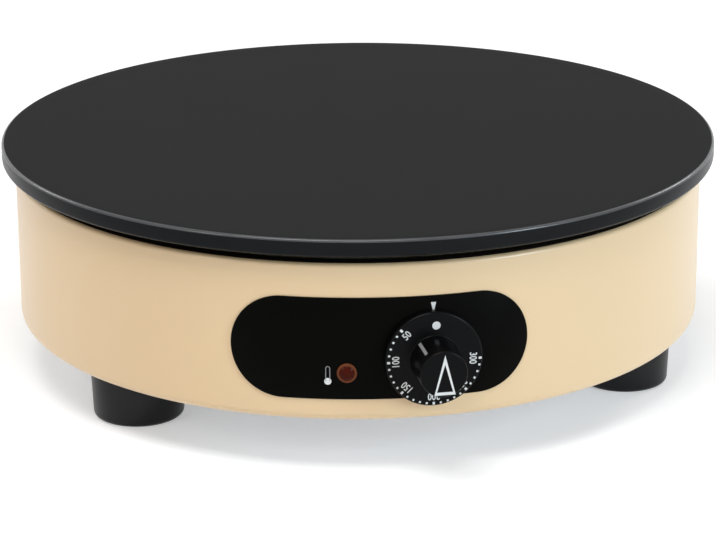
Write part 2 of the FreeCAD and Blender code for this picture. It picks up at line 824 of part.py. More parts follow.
def front_cutters(label, low, high):
    """Cutters for the spindle, the lamp and the thermostat's screws, in any sheet at the front."""
    screw = "case_screw_dia + 2 * hole_gap"
    stem = "lamp_stem_dia + 2 * hole_gap"
    half = "case_screw_spacing / 2"
    return [
        drill(f"{label}_spindle_hole", "spindle_hole_dia", low, high, "knob_turn", "knob_level"),
        drill(f"{label}_lamp_hole", stem, low, high, "lamp_turn", "lamp_level"),
        drill(f"{label}_left_screw_hole", screw, low, high, "knob_turn", "knob_level", f"-{half}"),
        drill(f"{label}_right_screw_hole", screw, low, high, "knob_turn", "knob_level", half),
    ]


def make_panel():
    """Control panel: a strip with round ends, wrapped round the drum."""
    strips = []
    for label, radius in (("panel_strip", "panel_outer"), ("panel_strip_inside", "panel_inner")):
        strip = doc.addObject("Part::Cylinder", label)
        strip.setExpression("Radius", sized(radius))
        strip.setExpression("Height", sized("panel_height"))
        strip.setExpression("Placement", sized(at_point("0", "0", "panel_low")))
        strips.append(strip)
    ring = cut_away("panel_ring", *strips)
    middle = doc.addObject("Part::Cylinder", "panel_middle")
    middle.setExpression("Radius", sized("panel_outer + panel_thick"))
    middle.setExpression("Height", sized("panel_height"))
    middle.setExpression("Angle", sized("2 * panel_end_angle"))
    spin = "rotation(vector(0; 0; 1); panel_turn - panel_end_angle)"
    middle.setExpression("Placement", sized(f"placement(vector(0; 0; panel_low); {spin})"))
    ends = []
    for label, side in (("panel_left_end", "-"), ("panel_right_end", "+")):
        reach = "panel_outer + panel_thick"
        angle = f"panel_turn {side} panel_end_angle"
        ends.append(drill(label, "panel_height", "panel_inner - panel_height", reach, angle, "panel_level"))
    stencil = joined("panel_stencil", [middle] + ends)
    strip = doc.addObject("Part::MultiCommon", "panel_blank")
    strip.Shapes = [ring, stencil]
    cutters = front_cutters("panel", "shell_inner - shell_sheet", "panel_outer + panel_thick")
    cut_away("control_panel", strip, joined("panel_holes", cutters), keep=True)


def make_cover():
    """Base cover with radial vent slots, and the screws that hold it to the drum's foot lip."""
    cover = Piece("base_cover")
    low, high = "foot_height", "cover_top"
    cover.pad(low, high, disc("0", "0", "shell_outer - cover_inset"))
    foot = polar("foot_circle", "foot_turn")
    cover.repeat("foot_count", cover.cut(low, high, disc(*foot, "foot_screw_dia / 2 + hole_gap")))
    screw = disc("cover_screw_circle", "0", "cover_screw_dia / 2 + hole_gap")
    cover.repeat("cover_screw_count", cover.cut(low, high, screw))
    cover.repeat("vent_count", cover.cut(low, high, slot("vent_inner", "vent_outer", "0", "vent_width")))
    half = "block_pole_spacing / 2"
    fixing = "block_screw_dia / 2 + thread_gap"
    cover.cut(
        low,
        high,
        disc(f"-{half}", "block_setback", fixing),
        disc(half, "block_setback", fixing),
    )
    screws = Piece("cover_screws")
    shank = disc("cover_screw_circle", "0", "cover_screw_dia / 2")
    head = disc("cover_screw_circle", "0", "cover_screw_head_dia / 2")
    first = screws.pad("foot_height - cover_screw_head", "foot_height", head)
    second = screws.pad("foot_height", "foot_height + cover_screw_length", shank)
    screws.repeat("cover_screw_count", first, second)


def make_feet():
    """Three moulded feet, each with a screw up through the cover, a washer and a nut."""
    for label, step in (("foot_right", 0), ("foot_rear", 1), ("foot_left", 2)):
        foot = Piece(label)
        bore = "foot_screw_dia / 2 + hole_gap"
        foot.turn(
            (bore, "foot_recess"),
            ("foot_recess_dia / 2", "foot_recess"),
            ("foot_recess_dia / 2", "0"),
            ("foot_low_dia / 2 - foot_round", "0", "foot_round"),
            ("foot_low_dia / 2", "foot_round"),
            ("foot_top_dia / 2", "foot_height"),
            (bore, "foot_height"),
        )
        foot.place(at_point(*polar("foot_circle", f"foot_turn + {step} * 360 / foot_count"), "0"))
    spot = polar("foot_circle", "foot_turn")
    shank = "foot_screw_dia / 2"
    washer_top = "cover_top + foot_washer"
    nut_top = f"{washer_top} + foot_nut"
    screws = Piece("foot_screws")
    head = screws.pad("foot_recess - foot_screw_head", "foot_recess", disc(*spot, "foot_screw_head_dia / 2"))
    stem = screws.pad("foot_recess", f"{nut_top} + foot_washer", disc(*spot, shank))
    screws.repeat("foot_count", head, stem)
    washers = Piece("foot_washers")
    rim, bore = disc(*spot, "foot_washer_dia / 2"), disc(*spot, f"{shank} + hole_gap")
    washers.repeat("foot_count", washers.pad("cover_top", washer_top, rim, bore))
    nuts = Piece("foot_nuts")
    edge, bore = hexagon(*spot, "foot_nut_across"), disc(*spot, f"{shank} + thread_gap")
    nuts.repeat("foot_count", nuts.pad(washer_top, nut_top, edge, bore))


def make_knob():
    """Dial knob in one moulding, its spindle with a flat, and the leaf that grips the flat."""
    knob = Piece("dial_knob")
    bore = "spindle_dia / 2 + spindle_play"
    recess = "dial_back + dial_recess"
    rim = "dial_dia / 2"
    knob.turn(
        (bore, "dial_back"),
        ("hub_dia / 2", "dial_back"),
        ("hub_dia / 2", recess),
        ("dial_recess_dia / 2", recess),
        ("dial_recess_dia / 2", "dial_back"),
        (rim, "dial_back"),
        (rim, "dial_front - dial_round", "dial_round"),
        (f"{rim} - dial_round", "dial_front"),
        ("grip_low_dia / 2", "dial_front"),
        ("grip_tip_dia / 2", "grip_tip - grip_round", "grip_round"),
        ("grip_tip_dia / 2 - grip_round", "grip_tip"),
        ("0", "grip_tip"),
        ("0", "hub_end"),
        (bore, "hub_end"),
    )
    spindle = Piece("thermostat_spindle")
    tip = "hub_end - seat_gap"
    spindle.pad("case_front - spindle_in_case", tip, disc("0", "0", "spindle_dia / 2"))
    flat = "spindle_dia / 2 - spindle_flat / 2"
    spindle.cut(f"{tip} - spindle_flat_length", tip, block("0", flat, "spindle_dia", "spindle_flat"))
    clip = Piece("knob_clip")
    leaf = "spindle_dia / 2 - spindle_flat + seat_gap + clip_thick / 2"
    clip.pad(f"{tip} - clip_length", tip, block("0", leaf, "clip_width", "clip_thick"))
    for piece in (knob, spindle, clip):
        piece.place(outward("knob_turn", "knob_level"))


def make_thermostat():
    """Thermostat: case on a flat bracket across the drum's curve, its screws and its blades."""
    half = "case_screw_spacing / 2"
    bracket = Piece("thermostat_bracket")
    screw_hole = "case_screw_dia / 2 + hole_gap"
    bracket.pad(
        "case_front",
        "bracket_plate_front",
        block("0", "0", "bracket_plate_wide", "bracket_plate_tall"),
        disc("0", "0", "spindle_hole_dia / 2"),
        disc(f"-{half}", "0", screw_hole),
        disc(half, "0", screw_hole),
    )
    case = Piece("thermostat_case")
    case.pad("case_back", "case_front", block("0", "0", "case_wide", "case_tall"))
    bush = disc("0", "0", "spindle_dia / 2 + spindle_play")
    case.cut("case_front - spindle_in_case - hole_gap", "case_front", bush)
    tapped = "case_screw_dia / 2 + thread_gap"
    screw_end = "case_front - case_screw_grip"
    case.cut(f"{screw_end} - hole_gap", "case_front", disc(f"-{half}", "0", tapped), disc(half, "0", tapped))
    screws = Piece("thermostat_screws")
    inner_edge = f"({half} - case_screw_head_dia / 2)"
    head_seat = f"sqrt(panel_outer * panel_outer - {inner_edge} * {inner_edge}) + seat_gap"
    sides = (f"-{half}", half)
    heads = [disc(x, "0", "case_screw_head_dia / 2") for x in sides]
    screws.pad(head_seat, f"{head_seat} + case_screw_head", *heads)
    screws.pad(screw_end, head_seat, *[disc(x, "0", "case_screw_dia / 2") for x in sides])
    blades = Piece("thermostat_blades")
    spots = (("-blade_side", "-blade_rise"), ("blade_side", "-blade_rise"), ("-blade_side", "blade_rise"))
    blades.pad("blade_end", "case_back", *[block(x, y, "blade_wide", "blade_thick") for x, y in spots])
    for piece in (bracket, case, screws, blades):
        piece.place(outward("knob_turn", "knob_level"))


def make_lamp():
    """Indicator lamp: domed lens, stem through the drum, push-on clip and two blades."""
    lens = Piece("lamp_lens")
    front = "lens_back + lens_flange"
    dome = "lens_dome_dia * lens_dome_dia / 8 / lens_dome_height + lens_dome_height / 2"
    lens.turn(
        ("0", "lens_back"),
        ("lens_dia / 2", "lens_back"),
        ("lens_dia / 2", front),
        ("lens_dome_dia / 2", front, dome),
        ("0", f"{front} + lens_dome_height"),
    )
    housing = Piece("lamp_housing")
    housing.pad("lamp_back", "lens_back", disc("0", "0", "lamp_stem_dia / 2"))
    clip = Piece("lamp_clip")
    inner = "lamp_clip_dia / 2"
    clip_front = f"sqrt(shell_inner * shell_inner - {inner} * {inner}) - seat_gap"
    bore = disc("0", "0", "lamp_stem_dia / 2 + thread_gap")
    clip.pad(f"{clip_front} - lamp_clip", clip_front, disc("0", "0", inner), bore)
    blades = Piece("lamp_blades")
    sides = ("-lamp_blade_side", "lamp_blade_side")
    shapes = [block(x, "0", "lamp_blade_thick", "lamp_blade_wide") for x in sides]
    blades.pad("lamp_back - lamp_blade_long", "lamp_back", *shapes)
    for piece in (lens, housing, clip, blades):
        piece.place(outward("lamp_turn", "lamp_level"))


def make_cutout():
    """Overheat cut-out under the heat shield, its screws and blades."""
    body = Piece("overheat_cutout")
    ear_low = "shield_low - cutout_ear_thick"
    half = "cutout_screw_spacing / 2"
    hole = "cutout_screw_dia / 2 + hole_gap"
    sides = (f"cutout_x - {half}", f"cutout_x + {half}")
    ear = block("cutout_x", "cutout_y", "cutout_ear_long", "cutout_ear_wide")
    body.pad(ear_low, "shield_low", ear, *[disc(x, "cutout_y", hole) for x in sides])
    body.pad("cutout_low", "shield_low", disc("cutout_x", "cutout_y", "cutout_dia / 2"))
    screws = Piece("cutout_screws")
    head_low = f"{ear_low} - cutout_screw_head"
    screws.pad(head_low, ear_low, *[disc(x, "cutout_y", "cutout_screw_head_dia / 2") for x in sides])
    shanks = [disc(x, "cutout_y", "cutout_screw_dia / 2") for x in sides]
    screws.pad(ear_low, "shield_top + cutout_screw_head", *shanks)
    blades = Piece("cutout_blades")
    spots = ("cutout_x - cutout_blade_side", "cutout_x + cutout_blade_side")
    shapes = [block(x, "cutout_y", "blade_thick", "blade_wide") for x in spots]
    blades.pad("cutout_low - cutout_blade_long", "cutout_low", *shapes)


def make_terminal_block():
    """Three-pole terminal block on the base cover, with its sleeves and its two fixing screws."""
    poles = ("-block_pole_spacing", "0", "block_pole_spacing")
    fixings = ("-block_pole_spacing / 2", "block_pole_spacing / 2")
    top = "cover_top + block_tall"
    body = Piece("terminal_block")
    screw_hole = "block_screw_dia / 2 + hole_gap"
    outer_edge = block("0", "block_setback", "block_long", "block_wide")
    body.pad("cover_top", top, outer_edge, *[disc(x, "block_setback", screw_hole) for x in fixings])
    near, far = "-block_setback - block_wide / 2", "-block_setback + block_wide / 2"
    bores = [disc(x, "pole_level", "block_sleeve_dia / 2") for x in poles]
    body.cut(near, far, *bores, role="XZ_Plane")
    sleeves = Piece("terminal_sleeves")
    rims = [disc(x, "pole_level", "block_sleeve_dia / 2 - seat_gap / 2") for x in poles]
    holes = [disc(x, "pole_level", "block_sleeve_dia / 2 - block_sleeve_wall") for x in poles]
    sleeves.pad(f"{near} + seat_gap", f"{far} - seat_gap", *rims, *holes, role="XZ_Plane")
    screws = Piece("terminal_block_screws")
    head = [disc(x, "block_setback", "block_screw_head_dia / 2") for x in fixings]
    shank = [disc(x, "block_setback", "block_screw_dia / 2") for x in fixings]
    screws.pad(top, f"{top} + block_screw_head", *head)
    screws.pad("foot_height", top, *shank)


def make_earth():
    """Earth stud welded on the base cover, its tag with a crimp barrel, and its nut."""
    spot = ("earth_x", "earth_y")
    shank = "earth_dia / 2"
    base_top = "cover_top + earth_base"
    tag_top = f"{base_top} + earth_tag"
    stud = Piece("earth_stud")
    stud.pad("cover_top", base_top, disc(*spot, "earth_base_dia / 2"))
    stud.pad(base_top, "cover_top + earth_height", disc(*spot, shank))
    tag = Piece("earth_tag")
    tag.pad(base_top, tag_top, disc(*spot, "earth_tag_dia / 2"), disc(*spot, f"{shank} + hole_gap"))
    start = "-earth_y + earth_tag_dia / 2 - earth_tag"
    barrel = disc("earth_x", "earth_barrel_level", "earth_barrel_dia / 2")
    tag.pad(start, f"{start} + earth_barrel", barrel, role="XZ_Plane")
    nut = Piece("earth_nut")
    edge, bore = hexagon(*spot, "earth_nut_across"), disc(*spot, f"{shank} + thread_gap")
    nut.pad(tag_top, f"{tag_top} + earth_nut", edge, bore)


def make_gland():
    """Mains gland at the rear: threaded body, domed cap nut, rubber seal and locknut."""
    bore = "gland_bore_dia / 2"
    thread = "gland_thread_dia / 2"
    body = Piece("cable_gland")
    body.pad("shell_inner - gland_inside", "gland_neck_end", disc("0", "0", thread), disc("0", "0", bore))
    flange = hexagon("0", "0", "gland_flange_across")
    body.pad("gland_flange_back", "gland_flange_front", flange, disc("0", "0", bore))
    cap = Piece("gland_cap")
    outer = "gland_cap_dia / 2"
    inside = f"{thread} + thread_gap"
    shoulder = "gland_cap_end - gland_cap_wall"
    cap.turn(
        (inside, "gland_cap_back"),
        (outer, "gland_cap_back"),
        (outer, "gland_cap_end - gland_cap_round", "gland_cap_round"),
        (f"{outer} - gland_cap_round", "gland_cap_end"),
        ("gland_cap_hole_dia / 2", "gland_cap_end"),
        ("gland_cap_hole_dia / 2", shoulder),
        (inside, shoulder),
    )
    seal = Piece("gland_seal")
    low = "gland_neck_end + seat_gap"
    seal.pad(low, f"{low} + gland_seal", disc("0", "0", thread), disc("0", "0", "gland_seal_bore_dia / 2"))
    nut = Piece("gland_locknut")
    edge = hexagon("0", "0", "gland_nut_across")
    nut.pad("gland_nut_front - gland_nut", "gland_nut_front", edge, disc("0", "0", f"{thread} + thread_gap"))
    for piece in (body, cap, seal, nut):
        piece.place(outward("gland_turn", "gland_level"))


def rounded_path(points):
    """Straight runs through the points, joined by tangent arcs as large as the runs allow."""
    edges = []
    start = points[0]
    for before, corner, after in zip(points, points[1:], points[2:]):
        inward = (corner - before).normalize()
        onward = (after - corner).normalize()
        turn = inward.getAngle(onward)
        shorter = min((corner - before).Length, (after - corner).Length)
        setback = BEND_SHARE * shorter
        first = corner - inward * setback
        last = corner + onward * setback
        bisector = (onward - inward).normalize()
        radius = setback / math.tan(turn / 2)
        centre = corner + bisector * (radius / math.cos(turn / 2))
        edges.append(Part.LineSegment(start, first).toShape())
        edges.append(Part.Arc(first, centre - bisector * radius, last).toShape())
        start = last
    edges.append(Part.LineSegment(start, points[-1]).toShape())
    return edges


def outward_point(angle, distance, sideways, height):
    """A point in space, from its distance along an outward direction and its offset beside it."""
    turn = math.radians(value(angle))
    x = value(distance) * math.cos(turn) - value(sideways) * math.sin(turn)
    y = value(distance) * math.sin(turn) + value(sideways) * math.cos(turn)
    return Vector(x, y, value(height))


def point(x, y, height):
    """A point in space from expressions."""
    return Vector(value(x), value(y), value(height))


def make_capillary():
    """Capillary from the bulb's end down through the layers and forward to the thermostat's back."""
    port = "knob_level + capillary_port"
    edges = rounded_path([
        point("-bulb_length / 2", "-bulb_setback", "bulb_level"),
        point("capillary_x", "-bulb_setback", "bulb_level"),
        point("capillary_x", "-bulb_setback", port),
        point("capillary_x + 28", "-bulb_setback - 50", port),
        outward_point("knob_turn", "case_back - 40", "-16", port),
        outward_point("knob_turn", "case_back - 18", "0", port),
        outward_point("knob_turn", "case_back", "0", port),
    ])
    keep_shape("thermostat_capillary", swept("thermostat_capillary", edges, value("capillary_dia")))


def make_leads():
    """Single-core leads from the terminal block to the thermostat, cut-out, element, lamp and earth stud."""
    dia = value("lead_dia")
    side = "(lead_dia / 2 + seat_gap / 2)"
    entry = "block_y_low + 4"
    blade = "blade_end - seat_gap"
    low_blade = "knob_level - blade_rise"
    high_blade = "knob_level + blade_rise"
    cutout_end = "cutout_low - cutout_blade_long - seat_gap"
    pin_level = "leg_low - seal_length - pin_length + 3"
    pin_side = "(pin_dia / 2 + seat_gap)"
    lamp_end = "lamp_back - lamp_blade_long - seat_gap"
    routes = {
        "live_lead": [
            point("0", entry, "pole_level"),
            point("0", "block_y_low - 22", "pole_level"),
            point("5", "35", "pole_level - 1"),
            point("8", "-45", "pole_level"),
            outward_point("knob_turn", f"{blade} - 40", "-blade_side - 3", f"{low_blade} - 10"),
            outward_point("knob_turn", f"{blade} - 14", "-blade_side", low_blade),
            outward_point("knob_turn", blade, "-blade_side", low_blade),
        ],
        "switched_lead": [
            outward_point("knob_turn", blade, "blade_side", low_blade),
            outward_point("knob_turn", f"{blade} - 16", "blade_side", low_blade),
            outward_point("knob_turn", f"{blade} - 60", "blade_side + 12", f"{low_blade} - 8"),
            point("cutout_x + 14", "cutout_y - 90", "pole_level + 6"),
            point("cutout_x + 16", "cutout_y - 30", "pole_level + 6"),
            point("cutout_x + cutout_blade_side", "cutout_y", "pole_level + 14"),
            point("cutout_x + cutout_blade_side", "cutout_y", cutout_end),
        ],
        "element_lead": [
            point("cutout_x - cutout_blade_side", "cutout_y", cutout_end),
            point("cutout_x - cutout_blade_side", "cutout_y", f"{cutout_end} - 12"),
            point("cutout_x - 14", "cutout_y + 22", "pole_level + 14"),
            point("cutout_x - 34", "cutout_y + 52", "pole_level + 16"),
            point("outer_leg_x + 20", "outer_leg_y", pin_level),
            point(f"outer_leg_x + {pin_side}", "outer_leg_y", pin_level),
        ],
        "neutral_lead": [
            point(f"-block_pole_spacing + {side}", entry, "pole_level"),
            point(f"-block_pole_spacing + {side}", "block_y_low - 36", "pole_level"),
            point(f"-block_pole_spacing + {side} - 6", "block_y_low - 50", f"{pin_level} - 12"),
            point("inner_leg_x", "inner_leg_y - 20", pin_level),
            point("inner_leg_x", f"inner_leg_y - {pin_side}", pin_level),
        ],
        "earth_lead": [
            point("block_pole_spacing", entry, "pole_level"),
            point("block_pole_spacing", "block_y_low - 14", "pole_level"),
            point("block_pole_spacing + 14", "block_y_low - 26", "pole_level - 2"),
            point("earth_x - 12", "block_y_low - 24", "earth_barrel_level + 2"),
            point("earth_x", "earth_y - 28", "earth_barrel_level"),
            point("earth_x", "earth_y - earth_tag_dia / 2 + earth_tag - earth_barrel", "earth_barrel_level"),
        ],
    }
    for label, route in routes.items():
        keep_shape(label, swept(label, rounded_path(route), dia))
    to_lamp = [
        [
            outward_point("lamp_turn", lamp_end, "lamp_blade_side", "lamp_level"),
            outward_point("lamp_turn", f"{lamp_end} - 20", "lamp_blade_side", "lamp_level"),
            outward_point("lamp_turn", f"{lamp_end} - 41", "lamp_blade_side + 3", "lamp_level + 2"),
            outward_point("knob_turn", f"{blade} - 41", "-blade_side - 4", f"{high_blade} - 9"),
            outward_point("knob_turn", f"{blade} - 30", "-blade_side + 2", f"{high_blade} - 3"),
            outward_point("knob_turn", f"{blade} - 17", "-blade_side", high_blade),
            outward_point("knob_turn", blade, "-blade_side", high_blade),
        ],
        [
            outward_point("lamp_turn", lamp_end, "-lamp_blade_side", "lamp_level"),
            outward_point("lamp_turn", f"{lamp_end} - 22", "-lamp_blade_side", "lamp_level"),
            point("-block_pole_spacing - 8", "-90", "pole_level + 7"),
            point("-block_pole_spacing - 12", "-20", "pole_level + 1"),
            point("-block_pole_spacing - 6", "40", "pole_level"),
            point(f"-block_pole_spacing - {side}", "block_y_low - 22", "pole_level"),
            point(f"-block_pole_spacing - {side}", entry, "pole_level"),
        ],
    ]
    tubes = [swept("lamp_leads", rounded_path(route), dia) for route in to_lamp]
    keep_shape("lamp_leads", Part.makeCompound(tubes))


def check_and_write():
    """Stop on a failed object or shape, or a cut that removes nothing, and write each sub-part."""
    doc.recompute()
    for item in doc.Objects:
        if "Invalid" in item.State or "Error" in item.State:
            raise RuntimeError(f"{item.Name} ({item.Label}) is {item.State}")
        if item.TypeId == "PartDesign::Pocket":
            if item.Shape.Volume >= item.BaseFeature.Shape.Volume - 0.01:
                raise RuntimeError(f"{item.Name} cuts nothing")
    os.makedirs("parts", exist_ok=True)
    for label, item in NODES.items():
        if item.Shape.isNull() or not item.Shape.isValid():
            raise RuntimeError(f"{label} has no valid shape")
        item.Shape.exportStep(f"parts/{label}.step")
        print(f"{label}: {len(item.Shape.Solids)} solids, {item.Shape.Volume:.0f} mm3")


make_plate()
make_plate_fixings()
make_brackets()
make_shield_and_board()
make_clamp()
make_element()
make_bulb()
make_shell()
make_panel()
make_cover()
make_feet()
make_knob()
make_thermostat()
make_lamp()
make_cutout()
make_terminal_block()
make_earth()
make_gland()
make_capillary()
make_leads()
check_and_write()
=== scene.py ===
"""Looks of a round electric crepe maker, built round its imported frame.

Metres, +Z up, the control panel towards -Y, the origin on the floor under the plate's axis.
Each sub-assembly is a class with its sizes as fields. It builds its meshes, dresses them, and
hands them to the frame, where they ride on a body and stand for the solids of the same place.
"""
from __future__ import annotations

import json
import logging
import math
from dataclasses import dataclass, field
from enum import Enum
from functools import cached_property
from typing import Callable, Iterable, Sequence

import bmesh
import bpy
from mathutils import Matrix, Vector

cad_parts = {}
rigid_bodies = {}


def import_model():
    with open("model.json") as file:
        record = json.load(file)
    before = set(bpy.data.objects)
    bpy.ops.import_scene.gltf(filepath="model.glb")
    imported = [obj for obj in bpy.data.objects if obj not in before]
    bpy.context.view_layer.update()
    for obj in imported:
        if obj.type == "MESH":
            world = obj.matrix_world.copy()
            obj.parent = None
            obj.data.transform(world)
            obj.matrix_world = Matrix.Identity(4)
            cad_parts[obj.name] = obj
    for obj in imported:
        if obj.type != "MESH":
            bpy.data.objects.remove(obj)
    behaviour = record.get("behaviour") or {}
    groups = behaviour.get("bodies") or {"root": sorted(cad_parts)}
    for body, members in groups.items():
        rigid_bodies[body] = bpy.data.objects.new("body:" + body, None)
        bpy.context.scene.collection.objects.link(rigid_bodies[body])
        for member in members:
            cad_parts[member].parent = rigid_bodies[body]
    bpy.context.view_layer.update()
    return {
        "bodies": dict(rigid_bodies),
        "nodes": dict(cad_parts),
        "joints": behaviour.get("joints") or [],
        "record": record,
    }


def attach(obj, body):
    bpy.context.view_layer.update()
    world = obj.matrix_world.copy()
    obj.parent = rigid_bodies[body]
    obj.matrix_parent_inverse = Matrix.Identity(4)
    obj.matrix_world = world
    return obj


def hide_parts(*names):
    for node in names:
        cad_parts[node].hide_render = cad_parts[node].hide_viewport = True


MM = 0.001
CHASSIS = "chassis"
KNOB = "knob"
HOLE_SIDES = 48
HOLE_PAST = 3.0 * MM
NUMERAL_WEIGHT = 0.012
WHITE = (1.0, 1.0, 1.0, 1.0)
LOG = logging.getLogger("crepe_maker")

Profile = list[tuple[float, float]]
Outline = list[tuple[float, float]]
Outlines = list[Outline]
Holes = list[tuple[Matrix, float]]
Colour = tuple[float, float, float]
Inputs = dict[str | int, "float | tuple | bpy.types.NodeSocket"]
Piece = bpy.types.Object
Tree = bpy.types.NodeTree


def around(radius: float, turn: float) -> Matrix:
    """The shift from the plate's axis to a point at a radius, degrees from the right."""
    angle = math.radians(turn)
    return Matrix.Translation((radius * math.cos(angle), radius * math.sin(angle), 0))


class ScaleBar(Enum):
    """The two bars of the dial's scale, each as half its width and half its length."""

    FIFTY = (0.62 * MM, 0.8 * MM)
    TEN = (0.52 * MM, 0.55 * MM)


def bend(middle: tuple[float, float], radius: float, start: float, end: float, steps: int = 6) -> Profile:
    """Points along an arc of a profile.

    Args:
        middle: the arc's centre, as radius and height.
        radius: the arc's radius.
        start: the first angle in degrees, from outward towards up.
        end: the last angle in degrees.
        steps: how many chords make the arc.

    Returns:
        The points, both ends included.
    """
    points = []
    for step in range(steps + 1):
        angle = math.radians(start + (end - start) * step / steps)
        points.append((middle[0] + radius * math.cos(angle), middle[1] + radius * math.sin(angle)))
    return points


def outward_frame(turn: float, height: float) -> Matrix:
    """A frame whose Z points away from the plate's axis and whose Y points up.

    Args:
        turn: degrees from the front, anticlockwise seen from above.
        height: its height over the floor.
    """
    facing = Matrix.Rotation(math.radians(turn), 4, "Z") @ Matrix.Rotation(math.radians(90), 4, "X")
    return Matrix.Translation((0, 0, height)) @ facing


def smooth_by_angle(bm: bmesh.types.BMesh, crease: float) -> None:
    """Smooth all faces, and keep the edges sharp where two faces meet at more than an angle."""
    limit = math.radians(crease)
    for face in bm.faces:
        face.smooth = True
    for edge in bm.edges:
        edge.smooth = len(edge.link_faces) == 2 and edge.calc_face_angle(0.0) < limit


def linked_object(name: str, data: bpy.types.ID) -> Piece:
    """An object that shows some data, linked to the scene."""
    piece = bpy.data.objects.new(name, data)
    bpy.context.scene.collection.objects.link(piece)
    return piece


def mesh_object(name: str, bm: bmesh.types.BMesh, crease: float = 32.0) -> Piece:
    """Make an object from an edit mesh and free the mesh.

    An edge stays sharp where its two faces meet at more than `crease` degrees.
    """
    bmesh.ops.remove_doubles(bm, verts=bm.verts, dist=1e-7)
    bmesh.ops.recalc_face_normals(bm, faces=bm.faces)
    smooth_by_angle(bm, crease)
    mesh = bpy.data.meshes.new(name)
    bm.to_mesh(mesh)
    bm.free()
    return linked_object(name, mesh)


def lathe(name: str, profile: Profile, sides: int, frame: Matrix = Matrix.Identity(4)) -> Piece:
    """Turn a profile of radius and height about a frame's Z axis.

    Args:
        name: the object's name.
        profile: the points. It is closed unless its first and last points lie on the axis.
        sides: how many steps the turn has.
        frame: where the axis is.

    Returns:
        The turned object.
    """
    bm = bmesh.new()
    rings = []
    for radius, height in profile:
        if radius < 1e-9:
            rings.append([bm.verts.new(frame @ Vector((0, 0, height)))] * sides)
            continue
        ring = []
        for side in range(sides):
            angle = 2 * math.pi * side / sides
            spot = Vector((radius * math.cos(angle), radius * math.sin(angle), height))
            ring.append(bm.verts.new(frame @ spot))
        rings.append(ring)
    pairs = list(zip(rings, rings[1:]))
    if profile[0][0] > 1e-9 or profile[-1][0] > 1e-9:
        pairs.append((rings[-1], rings[0]))
    for first, second in pairs:
        for side in range(sides):
            after = (side + 1) % sides
            corners = [first[side], first[after], second[after], second[side]]
            kept = list(dict.fromkeys(corners))
            if len(kept) > 2:
                bm.faces.new(kept)
    return mesh_object(name, bm)


def shown_mesh(piece: Piece) -> bpy.types.Mesh:
    """The mesh that an object shows, with its modifiers."""
    graph = bpy.context.evaluated_depsgraph_get()
    return bpy.data.meshes.new_from_object(piece.evaluated_get(graph))


def drill(
    piece: Piece,
    holes: Iterable[tuple[Matrix, float, float, float]],
    crease: float = 32.0,
) -> None:
    """Cut round holes through a piece.

    Args:
        piece: the object to cut.
        holes: for each hole the frame whose Z it follows, its radius, and where it starts and ends.
        crease: degrees between two faces from which their edge stays sharp.
    """
    for frame, radius, start, end in holes:
        profile = [(0.0, start), (radius, start), (radius, end), (0.0, end)]
        cutter = lathe("cutter", profile, HOLE_SIDES, frame)
        cut = piece.modifiers.new("hole", "BOOLEAN")
        cut.object = cutter
        cut.operation = "DIFFERENCE"
        cut.solver = "EXACT"
        mesh = shown_mesh(piece)
        piece.modifiers.clear()
        piece.data = mesh
        bpy.data.objects.remove(cutter)
    bm = bmesh.new()
    bm.from_mesh(piece.data)
    smooth_by_angle(bm, crease)
    bm.to_mesh(piece.data)
    bm.free()


def flat_solid(
    name: str,
    outlines: Outlines,
    low: float,
    high: float,
    place: Callable[[float, float, float], Vector],
) -> Piece:
    """Thin solids over outlines, such as printed marks.

    Args:
        name: the object's name.
        outlines: for each mark its corners in order, convex or nearly so.
        low: where the marks' backs lie.
        high: where the marks' faces lie.
        place: gives the point in the row's frame for a flat point and its depth.

    Returns:
        The marks as one object.
    """
    bm = bmesh.new()
    for corners in outlines:
        back = [bm.verts.new(place(x, y, low)) for x, y in corners]
        face = [bm.verts.new(place(x, y, high)) for x, y in corners]
        bm.faces.new(face)
        bm.faces.new(list(reversed(back)))
        for number in range(len(corners)):
            after = (number + 1) % len(corners)
            bm.faces.new([back[number], back[after], face[after], face[number]])
    return mesh_object(name, bm)


def circle_outline(x: float, y: float, radius: float, sides: int = 24) -> Outline:
    """The corners of a round mark."""
    step = 2 * math.pi / sides
    return [(x + radius * math.cos(step * k), y + radius * math.sin(step * k)) for k in range(sides)]


def merge(name: str, pieces: Sequence[Piece]) -> Piece:
    """Join objects that have no material yet into one."""
    bm = bmesh.new()
    for piece in pieces:
        bm.from_mesh(piece.data)
        bpy.data.objects.remove(piece)
    return mesh_object(name, bm)


def text_outlines(text: str, size: float, frame: Matrix, low: float, high: float) -> Piece:
    """Plain numerals as thin solids.

    Args:
        text: the numerals.
        size: their height setting.
        frame: the frame they stand in, upright along its Y and centred on its origin.
        low: where their backs lie along the frame's Z.
        high: where their faces lie.

    Returns:
        The numerals as one object.
    """
    name = f"numerals_{text}"
    curve = bpy.data.curves.new(name, "FONT")
    curve.body = text
    curve.size = size
    curve.align_x = "CENTER"
    curve.align_y = "CENTER"
    curve.extrude = (high - low) / 2
    curve.offset = size * NUMERAL_WEIGHT
    curve.resolution_u = 3
    holder = linked_object(name, curve)
    bpy.context.view_layer.update()
    mesh = shown_mesh(holder)
    bpy.data.objects.remove(holder)
    mesh.transform(frame @ Matrix.Translation((0, 0, (low + high) / 2)))
    return linked_object(name, mesh)


def feed(tree: Tree, node: bpy.types.Node, inputs: Inputs) -> None:
    """Give a node's inputs their values, and link those that another node's output drives."""
    for label, term in inputs.items():
        if isinstance(term, bpy.types.NodeSocket):
            tree.links.new(term, node.inputs[label])
        else:
            node.inputs[label].default_value = term


